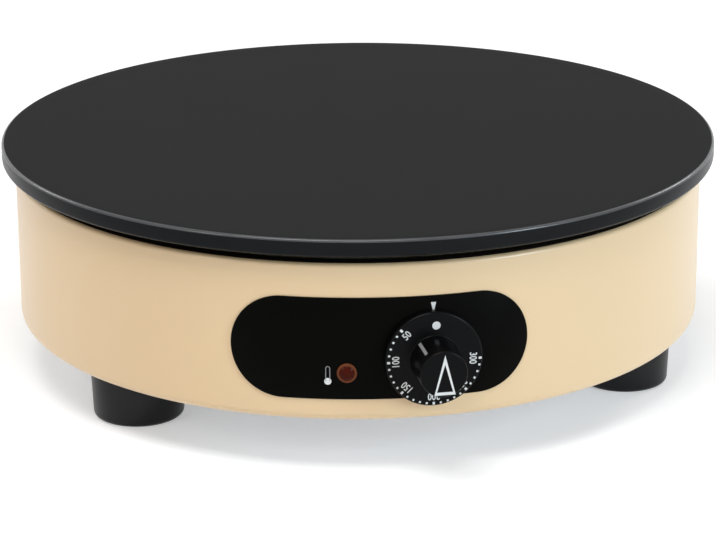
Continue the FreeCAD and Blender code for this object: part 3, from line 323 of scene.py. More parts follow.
def place(tree: Tree, kind: str, inputs: Inputs, **settings: object) -> bpy.types.Node:
    """Place a shader node.

    Args:
        tree: the tree it stands in.
        kind: its type, without the part that all types share.
        inputs: for an input's name or number, its value or the output that drives it.
        settings: the node's own settings.

    Returns:
        The new node.
    """
    node = tree.nodes.new(f"ShaderNode{kind}")
    for name, setting in settings.items():
        setattr(node, name, setting)
    feed(tree, node, inputs)
    return node


class Effects:
    """Node groups that several finishes share. Each is built once, when it is first asked for."""

    PATCH_HEIGHT = 0.25

    @staticmethod
    def group(name: str, inputs: dict[str, float], outputs: Sequence[str]) -> Tree:
        """Start a group with number inputs and number outputs."""
        tree = bpy.data.node_groups.new(name, "ShaderNodeTree")
        for label, default in inputs.items():
            socket = tree.interface.new_socket(label, in_out="INPUT", socket_type="NodeSocketFloat")
            socket.default_value = default
        for label in outputs:
            tree.interface.new_socket(label, in_out="OUTPUT", socket_type="NodeSocketFloat")
        tree.nodes.new("NodeGroupInput")
        tree.nodes.new("NodeGroupOutput")
        return tree

    @cached_property
    def mottle(self) -> Tree:
        """Cloudy patches, from 0 to 1, and their sum with a fine grain as a height."""
        scales = {"Patch Scale": 30.0, "Grain Scale": 900.0}
        tree = self.group("mottle", scales, ("Patches", "Height"))
        given = tree.nodes["Group Input"].outputs
        coords = place(tree, "TexCoord", {}).outputs["Object"]
        noises = []
        for label, detail in (("Patch Scale", 5.0), ("Grain Scale", 3.0)):
            texture = {"Vector": coords, "Scale": given[label], "Detail": detail}
            noises.append(place(tree, "TexNoise", texture).outputs["Fac"])
        terms = {0: noises[0], 1: self.PATCH_HEIGHT, 2: noises[1]}
        height = place(tree, "Math", terms, operation="MULTIPLY_ADD").outputs[0]
        feed(tree, tree.nodes["Group Output"], {"Patches": noises[0], "Height": height})
        return tree

    @cached_property
    def turning(self) -> Tree:
        """Faint rings about the plate's axis, as a lathe tool leaves them, from 0 to 1."""
        tree = self.group("turning", {"Pitch": 0.0016, "Drift": 0.4}, ("Rings",))
        given = tree.nodes["Group Input"].outputs
        coords = place(tree, "TexCoord", {}).outputs["Object"]
        flat = place(tree, "VectorMath", {0: coords, 1: (1, 1, 0)}, operation="MULTIPLY").outputs[0]
        reach = place(tree, "VectorMath", {0: flat}, operation="LENGTH").outputs["Value"]
        count = place(tree, "Math", {0: reach, 1: given["Pitch"]}, operation="DIVIDE").outputs[0]
        rings = place(tree, "TexNoise", {"W": count, "Scale": 1.0}, noise_dimensions="1D")
        drift = place(tree, "TexNoise", {"Vector": coords, "Scale": 14.0})
        terms = {"Factor": given["Drift"], "A": rings.outputs["Fac"], "B": drift.outputs["Fac"]}
        mixed = place(tree, "Mix", terms).outputs["Result"]
        feed(tree, tree.nodes["Group Output"], {"Rings": mixed})
        return tree

    @cached_property
    def edge_wear_and_highlight(self) -> Tree:
        """A mask that is high on sharp outer edges: handling wear on most finishes, a painted highlight on
        the plate's rim.
        """
        tree = self.group("edge_wear_and_highlight", {"Start": 0.52, "End": 0.6}, ("Mask",))
        given = tree.nodes["Group Input"].outputs
        edges = place(tree, "NewGeometry", {}).outputs["Pointiness"]
        span = {"Value": edges, "From Min": given["Start"], "From Max": given["End"]}
        mask = place(tree, "MapRange", span).outputs["Result"]
        feed(tree, tree.nodes["Group Output"], {"Mask": mask})
        return tree


@dataclass(frozen=True)
class Finish:
    """One surface finish: its colours, its gloss and how uneven it is.

    The patches move the colour from `colour` to `patch_colour` and the roughness by `uneven`.
    """

    name: str
    colour: Colour
    patch_colour: Colour
    roughness: float
    uneven: float = 0.05
    metallic: float = 0.0
    coat: float = 0.0
    coat_roughness: float = 0.1
    specular: float = 0.5
    patch_scale: float = 30.0
    grain_scale: float = 900.0
    bump: float = 0.1
    bump_depth: float = 0.00005
    rings: float = 0.0
    wear_and_highlight: float = 0.0
    wear_and_highlight_colour: Colour = (0.3, 0.3, 0.31)

    def build(self, effects: Effects) -> bpy.types.Material:
        """Make the material from its own nodes and the shared groups."""
        material = bpy.data.materials.new(self.name)
        material.use_nodes = True
        tree = material.node_tree
        scales = {"Patch Scale": self.patch_scale, "Grain Scale": self.grain_scale}
        mottle = place(tree, "Group", scales, node_tree=effects.mottle).outputs
        blend = {"Factor": mottle["Patches"], "A": (*self.colour, 1.0), "B": (*self.patch_colour, 1.0)}
        colour = place(tree, "Mix", blend, data_type="RGBA").outputs["Result"]
        # Sharp edges turn lighter: handling wear on most finishes, and a painted highlight on the plate's
        # rim.
        if self.wear_and_highlight:
            mask = place(tree, "Group", {}, node_tree=effects.edge_wear_and_highlight).outputs["Mask"]
            amount = place(tree, "Math", {0: mask, 1: self.wear_and_highlight}, operation="MULTIPLY").outputs[0]
            wear_and_highlight_mix = {"Factor": amount, "A": colour, "B": (*self.wear_and_highlight_colour, 1.0)}
            colour = place(tree, "Mix", wear_and_highlight_mix, data_type="RGBA").outputs["Result"]
        low, high = max(self.roughness - self.uneven, 0.02), min(self.roughness + self.uneven, 1.0)
        spread = place(tree, "MapRange", {"Value": mottle["Patches"], "To Min": low, "To Max": high})
        height = mottle["Height"]
        if self.rings:
            rings = place(tree, "Group", {}, node_tree=effects.turning).outputs["Rings"]
            terms = {0: rings, 1: self.rings, 2: height}
            height = place(tree, "Math", terms, operation="MULTIPLY_ADD").outputs[0]
        relief = {"Strength": self.bump, "Distance": self.bump_depth, "Height": height}
        surface = {
            "Base Color": colour,
            "Metallic": self.metallic,
            "Roughness": spread.outputs["Result"],
            "Specular IOR Level": self.specular,
            "Coat Weight": self.coat,
            "Coat Roughness": self.coat_roughness,
            "Normal": place(tree, "Bump", relief).outputs["Normal"],
        }
        feed(tree, tree.nodes["Principled BSDF"], surface)
        return material


CAST_PLATE = Finish(
    "cast_plate", (0.015, 0.015, 0.0155), (0.023, 0.0225, 0.0225), 0.52, uneven=0.07, specular=0.01,
    patch_scale=22.0, grain_scale=650.0, bump=0.35, bump_depth=0.0001, rings=0.12,
)
# The rim's lighter sharp edges are partly wear and partly a painted highlight.
PLATE_RIM = Finish(
    "plate_rim", (0.005, 0.0055, 0.0065), (0.008, 0.0085, 0.0095), 0.3, specular=0.09,
    patch_scale=40.0, wear_and_highlight=0.5, wear_and_highlight_colour=(0.16, 0.165, 0.17),
)
# Painted highlight: a lighter top rounding on the plate's rim, for the bright line along its edge.
PLATE_EDGE_HIGHLIGHT = Finish(
    "plate_edge_highlight", (0.03, 0.031, 0.033), (0.055, 0.056, 0.059), 0.24, uneven=0.06,
    patch_scale=60.0, grain_scale=1200.0, bump_depth=0.00003,
)
# Painted shade: a dark colour on the drum's folded lip, where the plate shades it.
LIP_PAINTED_SHADE = Finish(
    "lip_painted_shade", (0.014, 0.011, 0.008), (0.022, 0.017, 0.012), 0.7, specular=0.1, bump=0.2
)
CREAM_ENAMEL = Finish(
    "cream_enamel", (0.85, 0.612, 0.352), (0.875, 0.637, 0.377), 0.36, uneven=0.03, coat=0.3,
    coat_roughness=0.22, patch_scale=9.0, grain_scale=420.0, bump=0.06, bump_depth=0.00004,
)
PANEL_BLACK = Finish(
    "panel_black", (0.0012, 0.0012, 0.0009), (0.0018, 0.0017, 0.0013), 0.4, specular=0.03,
    grain_scale=1500.0, bump=0.05, bump_depth=0.00003,
)
KNOB_BLACK = Finish(
    "knob_black", (0.0018, 0.0018, 0.002), (0.0032, 0.0032, 0.0036), 0.24, specular=0.075,
    grain_scale=1800.0, bump=0.08, bump_depth=0.00003, wear_and_highlight=0.12, wear_and_highlight_colour=(0.05, 0.05, 0.055),
)
WHITE_PRINT = Finish(
    "white_print", (0.80, 0.80, 0.78), (0.70, 0.70, 0.69), 0.5, patch_scale=200.0, grain_scale=2500.0
)
# Grey print on the panel; on the grip it makes a painted reflection.
GREY_PRINT_AND_REFLECTION = Finish(
    "grey_print_and_reflection", (0.30, 0.30, 0.30), (0.24, 0.24, 0.24), 0.5, patch_scale=200.0, grain_scale=2500.0
)
LAMP_RED = Finish(
    "lamp_red", (0.045, 0.004, 0.001), (0.07, 0.007, 0.002), 0.2, specular=0.04, coat=0.04,
    coat_roughness=0.08, patch_scale=160.0, grain_scale=1200.0, bump=0.05,
)
LAMP_EDGE = Finish(
    "lamp_edge", (0.13, 0.035, 0.011), (0.17, 0.05, 0.017), 0.3, specular=0.1,
    patch_scale=160.0, grain_scale=1200.0, bump=0.05,
)
FOOT_BLACK = Finish(
    "foot_black", (0.008, 0.008, 0.009), (0.013, 0.013, 0.0145), 0.34, uneven=0.06, specular=0.2,
    patch_scale=60.0, grain_scale=1100.0, bump=0.15, bump_depth=0.00006, wear_and_highlight=0.15,
    wear_and_highlight_colour=(0.07, 0.07, 0.072),
)
ZINC_SHEET = Finish(
    "zinc_sheet", (0.42, 0.42, 0.43), (0.55, 0.55, 0.57), 0.36, uneven=0.1, metallic=0.9,
    patch_scale=55.0, grain_scale=500.0,
)
BRIGHT_SHEET = Finish("bright_sheet", (0.72, 0.72, 0.73), (0.8, 0.8, 0.81), 0.25, metallic=1.0)
BRIGHT_STEEL = Finish(
    "bright_steel", (0.5, 0.5, 0.51), (0.62, 0.62, 0.63), 0.3, metallic=1.0, patch_scale=90.0
)
DARK_STEEL = Finish("element_steel", (0.12, 0.11, 0.10), (0.2, 0.18, 0.16), 0.45, metallic=0.8)
MINERAL_BOARD = Finish(
    "mineral_board", (0.62, 0.57, 0.47), (0.72, 0.67, 0.57), 0.95, grain_scale=300.0, bump=0.6,
    bump_depth=0.0004,
)
CERAMIC = Finish("ceramic", (0.78, 0.76, 0.7), (0.83, 0.81, 0.76), 0.35)
SWITCH_CASE = Finish("switch_case", (0.22, 0.17, 0.12), (0.28, 0.22, 0.15), 0.55)
BRASS = Finish("brass", (0.62, 0.45, 0.18), (0.7, 0.52, 0.24), 0.32, metallic=1.0)
COPPER = Finish("copper", (0.62, 0.30, 0.17), (0.7, 0.38, 0.22), 0.34, metallic=1.0)
BLACK_NYLON = Finish(
    "black_nylon", (0.014, 0.014, 0.015), (0.022, 0.022, 0.023), 0.46, grain_scale=1300.0, bump=0.2,
    bump_depth=0.00006, wear_and_highlight=0.2, wear_and_highlight_colour=(0.07, 0.07, 0.072),
)
SEAL_RUBBER = Finish("seal_rubber", (0.02, 0.02, 0.02), (0.03, 0.03, 0.03), 0.7)
LEAD_BROWN = Finish("lead_brown", (0.13, 0.055, 0.025), (0.17, 0.07, 0.032), 0.5)
LEAD_BLUE = Finish("lead_blue", (0.02, 0.07, 0.3), (0.03, 0.09, 0.36), 0.5)
LEAD_GREEN = Finish("lead_green", (0.12, 0.34, 0.04), (0.42, 0.42, 0.04), 0.5, patch_scale=120.0)

NAMED_FOR_SLOTS = (
    ZINC_SHEET, BRIGHT_SHEET, BRIGHT_STEEL, DARK_STEEL, MINERAL_BOARD, CERAMIC, SWITCH_CASE, BRASS, COPPER,
    SEAL_RUBBER, LEAD_BROWN, LEAD_BLUE, LEAD_GREEN, CAST_PLATE, CREAM_ENAMEL, PANEL_BLACK, KNOB_BLACK,
    LAMP_RED, FOOT_BLACK,
)
SLOT_FINISHES = {finish.name: finish for finish in NAMED_FOR_SLOTS}
SLOT_FINISHES |= {"housing_plastic": BLACK_NYLON, "gland_black": BLACK_NYLON}


@dataclass
class Workshop:
    """What every sub-assembly needs: the frame, the shared effects and the materials made so far."""

    frame: dict
    effects: Effects = field(default_factory=Effects)
    made: dict[str, bpy.types.Material] = field(default_factory=dict)

    def material(self, finish: Finish) -> bpy.types.Material:
        """The material of a finish, made once."""
        if finish.name not in self.made:
            self.made[finish.name] = finish.build(self.effects)
        return self.made[finish.name]

    def hand_over(
        self,
        piece: Piece,
        body: str,
        finish: Finish,
        nodes: Sequence[str] = (),
    ) -> None:
        """Dress a piece and give it to the frame.

        Args:
            piece: the finished object.
            body: the body it rides on.
            finish: its finish.
            nodes: the solids it stands for.
        """
        piece.data.materials.clear()
        piece.data.materials.append(self.material(finish))
        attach(piece, body)
        if nodes:
            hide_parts(*nodes)
        LOG.info("%s: %d faces, rides on %s", piece.name, len(piece.data.polygons), body)


@dataclass
class CookingPlate:
    """The cast plate: a flat disc with rounded edges and three bosses underneath."""

    radius: float = 200.0 * MM
    low: float = 120.5 * MM
    thick: float = 9.5 * MM
    top_round: float = 1.3 * MM
    low_round: float = 2.0 * MM
    boss_radius: float = 10.0 * MM
    boss_height: float = 4.0 * MM
    boss_circle: float = 165.0 * MM
    boss_chamfer: float = 0.5 * MM
    boss_turns: tuple[float, ...] = (90.0, 210.0, 330.0)
    boss_sides: int = 64
    stud_hole: float = 4.1 * MM
    clamp_circle: float = 115.0 * MM
    clamp_turns: tuple[float, ...] = (30.0, 150.0, 270.0)
    clamp_hole: float = 3.1 * MM
    clamp_depth: float = 6.3 * MM
    sides: int = 360

    def build(self, shop: Workshop) -> None:
        """Make the plate and its bosses, and stand them for the solid plate."""
        top = self.low + self.thick
        profile: Profile = [(0.0, self.low)]
        profile += [(self.radius * share, self.low) for share in (0.5, 0.9)]
        profile += bend((self.radius - self.low_round, self.low + self.low_round), self.low_round, -90, 0)
        profile += bend((self.radius - self.top_round, top - self.top_round), self.top_round, 0, 90)
        profile += [(self.radius * share, top) for share in (0.96, 0.7, 0.35)]
        profile += [(0.0, top)]
        plate = lathe("cooking_plate", profile, self.sides)
        size = (self.clamp_hole, self.low - MM, self.low + self.clamp_depth)
        drill(plate, [(around(self.clamp_circle, turn), *size) for turn in self.clamp_turns])
        foot, inner, outer = self.low - self.boss_height, self.stud_hole, self.boss_radius
        boss: Profile = [(inner, self.low), (inner, foot), (outer - self.boss_chamfer, foot)]
        boss += [(outer, foot + self.boss_chamfer), (outer, self.low)]
        bosses = []
        for turn in self.boss_turns:
            bosses.append(lathe("boss", boss, self.boss_sides, around(self.boss_circle, turn)))
        shop.hand_over(plate, CHASSIS, CAST_PLATE, ["griddle_plate"])
        plate.data.materials.append(shop.material(PLATE_RIM))
        # The top rounding of the rim gets a painted highlight.
        plate.data.materials.append(shop.material(PLATE_EDGE_HIGHLIGHT))
        for face in plate.data.polygons:
            reach = math.hypot(face.center.x, face.center.y)
            if reach > self.radius - self.top_round:
                face.material_index = 2 if face.center.z > top - self.top_round else 1
        shop.hand_over(merge("plate_bosses", bosses), CHASSIS, CAST_PLATE)


@dataclass
class Drum:
    """The painted drum: one sheet with a folded top lip and a rounded foot."""

    radius: float = 192.7 * MM
    low: float = 29.4 * MM
    height: float = 85.5 * MM
    sheet: float = 1.2 * MM
    top_lip: float = 9.0 * MM
    foot_lip: float = 23.0 * MM
    top_round: float = 2.6 * MM
    foot_round: float = 5.0 * MM
    screw_hole: float = 2.1 * MM
    screw_inset: float = 18.2 * MM
    screw_count: int = 6
    hole_reach: float = 10.0 * MM
    lip_start: float = 0.8
    sides: int = 360

    def profile(self) -> Profile:
        """The sheet's section, as radius and height."""
        outer, top, sheet = self.radius, self.low + self.height, self.sheet
        foot_middle = (outer - self.foot_round, self.low + self.foot_round)
        top_middle = (outer - self.top_round, top - self.top_round)
        points: Profile = [(outer - self.foot_lip, self.low)]
        points += bend(foot_middle, self.foot_round, -90, 0, 8)
        points += [(outer, self.low + self.height * share) for share in (0.3, 0.6)]
        points += bend(top_middle, self.top_round, 0, 90, 8)
        points += [(outer - self.top_lip, top), (outer - self.top_lip, top - sheet)]
        points += list(reversed(bend(top_middle, self.top_round - sheet, 0, 90, 6)))
        points += list(reversed(bend(foot_middle, self.foot_round - sheet, -90, 0, 6)))
        points += [(outer - self.foot_lip, self.low + sheet)]
        return points

    def build(self, shop: Workshop, fittings: Holes) -> None:
        """Make the drum, with a hole in its wall for each frame and radius of its fittings."""
        drum = lathe("drum", self.profile(), self.sides)
        start, end = self.radius - self.hole_reach, self.radius + HOLE_PAST
        holes = [(frame, radius, start, end) for frame, radius in fittings]
        low, high = self.low - MM, self.low + self.sheet + MM
        for number in range(self.screw_count):
            spot = around(self.radius - self.screw_inset, 360 * number / self.screw_count)
            holes.append((spot, self.screw_hole, low, high))
        drill(drum, holes)
        shop.hand_over(drum, CHASSIS, CREAM_ENAMEL, ["body_shell"])
        # The folded lip under the plate gets painted shade.
        drum.data.materials.append(shop.material(LIP_PAINTED_SHADE))
        lip_level = self.low + self.height - self.sheet - self.top_round
        for face in drum.data.polygons:
            reach = math.hypot(face.center.x, face.center.y)
            if reach < self.radius - self.top_round * self.lip_start and face.center.z > lip_level:
                face.material_index = 1


@dataclass
class ControlPanel:
    """The black strip with round ends, wrapped round the drum's front, and its printed marks."""

    length: float = 156.8 * MM
    height: float = 55.0 * MM
    middle: float = 1.8 * MM
    thick: float = 0.8 * MM
    inner_radius: float = 192.8 * MM
    level: float = 69.6 * MM
    edge: float = 0.3 * MM
    columns: int = 56
    end_columns: int = 22
    hole_reach: float = 6.0 * MM
    crease: float = 50.0
    print_depth: float = 0.05 * MM
    index_arc: float = 28.4 * MM
    index_top: float = 93.6 * MM
    index_height: float = 5.3 * MM
    index_width: float = 2.7 * MM
    index_tip: float = 0.4 * MM
    pictogram_arc: float = -25.6 * MM
    pictogram_low: float = 52.0 * MM
    bulb_radius: float = 1.85 * MM
    tube_width: float = 2.5 * MM
    tube_wall: float = 0.4 * MM
    tube_height: float = 7.0 * MM

    @property
    def outer_radius(self) -> float:
        """The radius of the panel's face."""
        return self.inner_radius + self.thick

    def wrapped(self, arc: float, height: float, radius: float) -> Vector:
        """The point at an arc length from the front, measured on the drum, and a height."""
        angle = arc / (self.inner_radius - 0.1 * MM)
        return Vector((radius * math.sin(angle), -radius * math.cos(angle), height))

    def stations(self, inset: float) -> Outline:
        """The arc length and half height of each column, for the outline drawn in by an inset."""
        radius = self.height / 2 - inset
        straight = (self.length - self.height) / 2
        points = []
        for step in range(self.end_columns + 1):
            angle = math.pi / 2 * step / self.end_columns
            points.append((-straight - radius * math.cos(angle), radius * math.sin(angle)))
        for step in range(1, self.columns):
            points.append((-straight + 2 * straight * step / self.columns, radius))
        return points + [(-arc, half) for arc, half in reversed(points[: self.end_columns + 1])]

    def strip(self) -> Piece:
        """The strip as a closed solid with a small chamfer round its face."""
        bm = bmesh.new()
        layers = (
            (0.0, self.inner_radius),
            (0.0, self.outer_radius - self.edge),
            (self.edge / 3, self.outer_radius - self.edge / 3),
            (self.edge, self.outer_radius),
        )
        rows = []
        for inset, radius in layers:
            stations = self.stations(inset)
            sides = []
            for side in (1, -1):
                spots = [(self.middle + arc, self.level + side * half) for arc, half in stations]
                sides.append([bm.verts.new(self.wrapped(*spot, radius)) for spot in spots])
            rows.append(tuple(sides))
        for upper, lower in (rows[0], rows[-1]):
            for number in range(len(upper) - 1):
                bm.faces.new([upper[number], upper[number + 1], lower[number + 1], lower[number]])
        for (upper_a, lower_a), (upper_b, lower_b) in zip(rows, rows[1:]):
            for first, second in ((upper_a, upper_b), (lower_a, lower_b)):
                for number in range(len(first) - 1):
                    bm.faces.new([first[number], first[number + 1], second[number + 1], second[number]])
        return mesh_object("control_strip", bm, self.crease)

    def thermometer_tube(self) -> Outlines:
        """The pictogram's grey tube in outline, with its round top."""
        x, low = self.pictogram_arc, self.pictogram_low
        stem, wall, top = self.tube_width / 2, self.tube_wall, self.tube_height
        outlines = []
        for side in (-1, 1):
            near, far = x + side * (stem - wall), x + side * stem
            left, right = min(near, far), max(near, far)
            outlines.append([(left, low), (right, low), (right, low + top), (left, low + top)])
        steps = 8
        for step in range(steps):
            first, last = math.pi * step / steps, math.pi * (step + 1) / steps
            corners = [(stem, first), (stem, last), (stem - wall, last), (stem - wall, first)]
            outlines.append([(x + r * math.cos(a), low + top + r * math.sin(a)) for r, a in corners])
        return outlines

    def build(self, shop: Workshop, fittings: Holes) -> None:
        """Make the strip with its holes, its index mark and its pictogram."""
        strip = self.strip()
        start, end = self.inner_radius - self.hole_reach, self.outer_radius + HOLE_PAST
        drill(strip, [(frame, radius, start, end) for frame, radius in fittings], self.crease)
        shop.hand_over(strip, CHASSIS, PANEL_BLACK, ["control_panel"])
        half, foot = self.index_width / 2, self.index_tip / 2
        index = [
            (self.index_arc - foot, self.index_top - self.index_height),
            (self.index_arc + foot, self.index_top - self.index_height),
            (self.index_arc + half, self.index_top),
            (self.index_arc - half, self.index_top),
        ]
        bulb = circle_outline(self.pictogram_arc, self.pictogram_low, self.bulb_radius)
        prints = (
            ("index_mark", [index], WHITE_PRINT),
            ("thermometer_tube", self.thermometer_tube(), GREY_PRINT_AND_REFLECTION),
            ("thermometer_bulb", [bulb], WHITE_PRINT),
        )
        low, high = self.outer_radius - self.print_depth, self.outer_radius + self.print_depth
        for name, outlines, finish in prints:
            shop.hand_over(flat_solid(name, outlines, low, high, self.wrapped), CHASSIS, finish)


@dataclass
class DialKnob:
    """The numbered dial and its round grip in one moulding, with its printed scale."""

    arc: float = 27.9 * MM
    wall_radius: float = 192.7 * MM
    level: float = 64.4 * MM
    spindle_hole: float = 5.0 * MM
    screw_hole: float = 2.3 * MM
    screw_offset: float = 14.0 * MM
    back: float = 194.4 * MM
    thick: float = 4.4 * MM
    radius: float = 25.5 * MM
    back_round: float = 0.3 * MM
    rim_round: float = 1.5 * MM
    recess_radius: float = 22.5 * MM
    recess: float = 2.6 * MM
    hub_radius: float = 5.5 * MM
    bore_radius: float = 3.05 * MM
    hub_depth: float = 16.0 * MM
    grip_length: float = 22.5 * MM
    grip_low: float = 12.8 * MM
    grip_tip: float = 12.3 * MM
    grip_round: float = 1.0 * MM
    grip_fillet: float = 0.5 * MM
    sides: int = 160
    print_depth: float = 0.04 * MM
    first_mark: float = 46.0
    mark_step: float = 8.88
    marks: int = 26
    mark_radius: float = 23.9 * MM
    number_radius: float = 20.0 * MM
    number_size: float = 5.4 * MM
    number_width: float = 0.8
    numbers: tuple[str, ...] = ("50", "100", "150", "200", "250", "300")
    off_spot: tuple[float, float] = (0.9 * MM, 18.3 * MM)
    off_radius: float = 2.15 * MM
    line_turn: float = 130.0
    line_start: float = 1.5 * MM
    line_end: float = 17.0 * MM
    line_width: float = 1.7 * MM
    line_root: float = 0.16 * MM
    pointer_apex: float = 10.4 * MM
    pointer_low: float = -11.0 * MM
    pointer_half: float = 5.5 * MM
    pointer_across: float = 0.4 * MM
    pointer_middle: float = 0.31
    pointer_shares: tuple[float, ...] = (0.66, 0.76, 0.76)

    @property
    def front(self) -> float:
        """How far the dial's face is from the plate's axis."""
        return self.back + self.thick

    @property
    def frame(self) -> Matrix:
        """The knob's own frame, Z along its axis away from the drum."""
        return outward_frame(math.degrees(self.arc / self.wall_radius), self.level)

    def screw_holes(self) -> Holes:
        """The holes of the two screws beside the spindle."""
        shifts = [Matrix.Translation((side * self.screw_offset, 0, 0)) for side in (-1, 1)]
        return [(self.frame @ shift, self.screw_hole) for shift in shifts]

    def moulding(self) -> Piece:
        """The hollow dial and the grip."""
        ceiling = self.back + self.recess
        tip = self.front + self.grip_length
        bore_end = self.back + self.hub_depth
        profile: Profile = [
            (0.0, bore_end),
            (self.bore_radius, bore_end),
            (self.bore_radius, self.back),
            (self.hub_radius, self.back),
            (self.hub_radius, ceiling),
            (self.recess_radius, ceiling),
            (self.recess_radius, self.back),
        ]
        corner = (self.radius - self.back_round, self.back + self.back_round)
        profile += bend(corner, self.back_round, -90, 0, 3)
        profile += bend((self.radius - self.rim_round, self.front - self.rim_round), self.rim_round, 0, 90)
        corner = (self.grip_low + self.grip_fillet, self.front + self.grip_fillet)
        profile += list(reversed(bend(corner, self.grip_fillet, 180, 270, 4)))
        profile += bend((self.grip_tip - self.grip_round, tip - self.grip_round), self.grip_round, 0, 90)
        profile += [(self.grip_tip * 0.5, tip), (0.0, tip)]
        return lathe("knob_moulding", profile, self.sides, self.frame)

    def on_dial(self, x: float, y: float, depth: float) -> Vector:
        """A point on the dial's face, lower where the face rounds off to the rim."""
        past = max(math.hypot(x, y) - (self.radius - self.rim_round), 0.0)
        drop = self.rim_round - math.sqrt(max(self.rim_round**2 - past**2, 0.0))
        return self.frame @ Vector((x, y, self.front - drop + depth))

    def on_grip(self, x: float, y: float, depth: float) -> Vector:
        """A point on the grip's face."""
        return self.frame @ Vector((x, y, self.front + self.grip_length + depth))

    def bar(self, angle: float, start: float, end: float, half_wide: float) -> Outline:
        """The corners of one piece of a scale mark, along a direction in radians."""
        out = Vector((math.cos(angle), math.sin(angle)))
        side = Vector((-out.y, out.x)) * half_wide
        spots = [out * end - side, out * end + side, out * start + side, out * start - side]
        return [(spot.x, spot.y) for spot in spots]

    def scale_marks(self) -> Outlines:
        """A bar for each ten degrees of heat, longer at each fifty, bent over the rim's round."""
        outlines = []
        flat_end = self.radius - self.rim_round
        for number in range(self.marks):
            angle = math.radians(90 + self.first_mark + self.mark_step * number)
            half_wide, half_long = (ScaleBar.TEN if number % 5 else ScaleBar.FIFTY).value
            start, end = self.mark_radius - half_long, self.mark_radius + half_long
            middle = (flat_end + end) / 2
            for first, last in ((start, flat_end), (flat_end, middle), (middle, end)):
                if last > first:
                    outlines.append(self.bar(angle, first, last, half_wide))
        return outlines

    def numerals(self) -> Piece:
        """The numbers, each with its top towards the rim."""
        pieces = []
        for number, text in enumerate(self.numbers):
            angle = self.first_mark + self.mark_step * 5 * number
            spin = Matrix.Rotation(math.radians(angle), 4, "Z")
            narrow = Matrix.Diagonal((self.number_width, 1.0, 1.0, 1.0))
            place = self.frame @ Matrix.Translation((0, 0, self.front)) @ spin
            place = place @ Matrix.Translation((0, self.number_radius, 0)) @ narrow
            pieces.append(text_outlines(text, self.number_size, place, -self.print_depth, self.print_depth))
        return merge("dial_numerals", pieces)

    def pointer(self) -> Outlines:
        """The tall triangle in outline on the grip's face, from three mitred bars."""
        apex, low, half, across = self.pointer_apex, self.pointer_low, self.pointer_half, self.pointer_across
        outer = [Vector((across, apex)), Vector((across - half, low)), Vector((across + half, low))]
        middle = Vector((across, low + (apex - low) * self.pointer_middle))
        inner = [middle + (corner - middle) * share for corner, share in zip(outer, self.pointer_shares)]
        bars = []
        for first, last in ((0, 1), (1, 2), (2, 0)):
            bar = [outer[first], outer[last], inner[last], inner[first]]
            bars.append([(spot.x, spot.y) for spot in bar])
        return bars

    def on_grip_side(self, across: float, along: float, depth: float) -> Vector:
        """A point on the grip's side, at a height over the dial and an arc length from the pale line."""
        share = along / self.grip_length
        reach = self.grip_low + (self.grip_tip - self.grip_low) * share + depth
        angle = math.radians(self.line_turn) + across / self.grip_low
        return self.frame @ Vector((reach * math.cos(angle), reach * math.sin(angle), self.front + along))

    def side_line(self) -> Outlines:
        """A painted reflection: the pale line along the grip's side."""
        half, start, end = self.line_width / 2, self.line_start, self.line_end
        return [[(-half, start), (half, start), (half, end), (-half, end)]]

    def build(self, shop: Workshop) -> None:
        """Make the moulding, its print and a painted reflection on the grip; all ride with the knob."""
        shop.hand_over(self.moulding(), KNOB, KNOB_BLACK, ["dial_knob"])
        depth, off = self.print_depth, [circle_outline(*self.off_spot, self.off_radius, 32)]
        prints = (
            ("dial_marks", self.scale_marks(), depth, self.on_dial, WHITE_PRINT),
            ("off_dot", off, depth, self.on_dial, WHITE_PRINT),
            # The grip line is a painted reflection, a pale streak along the grip's side.
            ("grip_painted_reflection", self.side_line(), self.line_root, self.on_grip_side, GREY_PRINT_AND_REFLECTION),
            ("grip_pointer", self.pointer(), depth, self.on_grip, WHITE_PRINT),
        )
        for name, outlines, root, where, finish in prints:
            shop.hand_over(flat_solid(name, outlines, -root, depth, where), KNOB, finish)
        shop.hand_over(self.numerals(), KNOB, WHITE_PRINT)


@dataclass
class Lamp:
    """The indicator lamp's lens: a low dome in its paler flange."""

    arc: float = -15.8 * MM
    wall_radius: float = 192.7 * MM
    level: float = 56.8 * MM
    wall_hole: float = 4.3 * MM
    back: float = 193.8 * MM
    radius: float = 5.2 * MM
    flange: float = 1.0 * MM
    dome_radius: float = 4.0 * MM
    dome: float = 1.6 * MM
    edge_round: float = 0.4 * MM
    sides: int = 72

    @property
    def frame(self) -> Matrix:
        """The lamp's own frame, Z along its axis away from the drum."""
        return outward_frame(math.degrees(self.arc / self.wall_radius), self.level)

    def build(self, shop: Workshop) -> None:
        """Make the dome and the flange round it."""
        front = self.back + self.flange
        profile: Profile = [(0.0, self.back), (self.dome_radius, self.back)]
        ball = (self.dome_radius**2 + self.dome**2) / (2 * self.dome)
        steps = 10
        for step in range(steps + 1):
            reach = self.dome_radius * (1 - step / steps)
            profile.append((reach, front + self.dome - ball + math.sqrt(ball**2 - reach**2)))
        lens = lathe("lamp_cap", profile, self.sides, self.frame)
        shop.hand_over(lens, CHASSIS, LAMP_RED, ["lamp_lens"])
        edge: Profile = [(self.dome_radius, self.back), (self.radius, self.back)]
        corner = (self.radius - self.edge_round, front - self.edge_round)
        edge += bend(corner, self.edge_round, 0, 90, 4) + [(self.dome_radius, front)]
        shop.hand_over(lathe("lamp_flange", edge, self.sides, self.frame), CHASSIS, LAMP_EDGE)


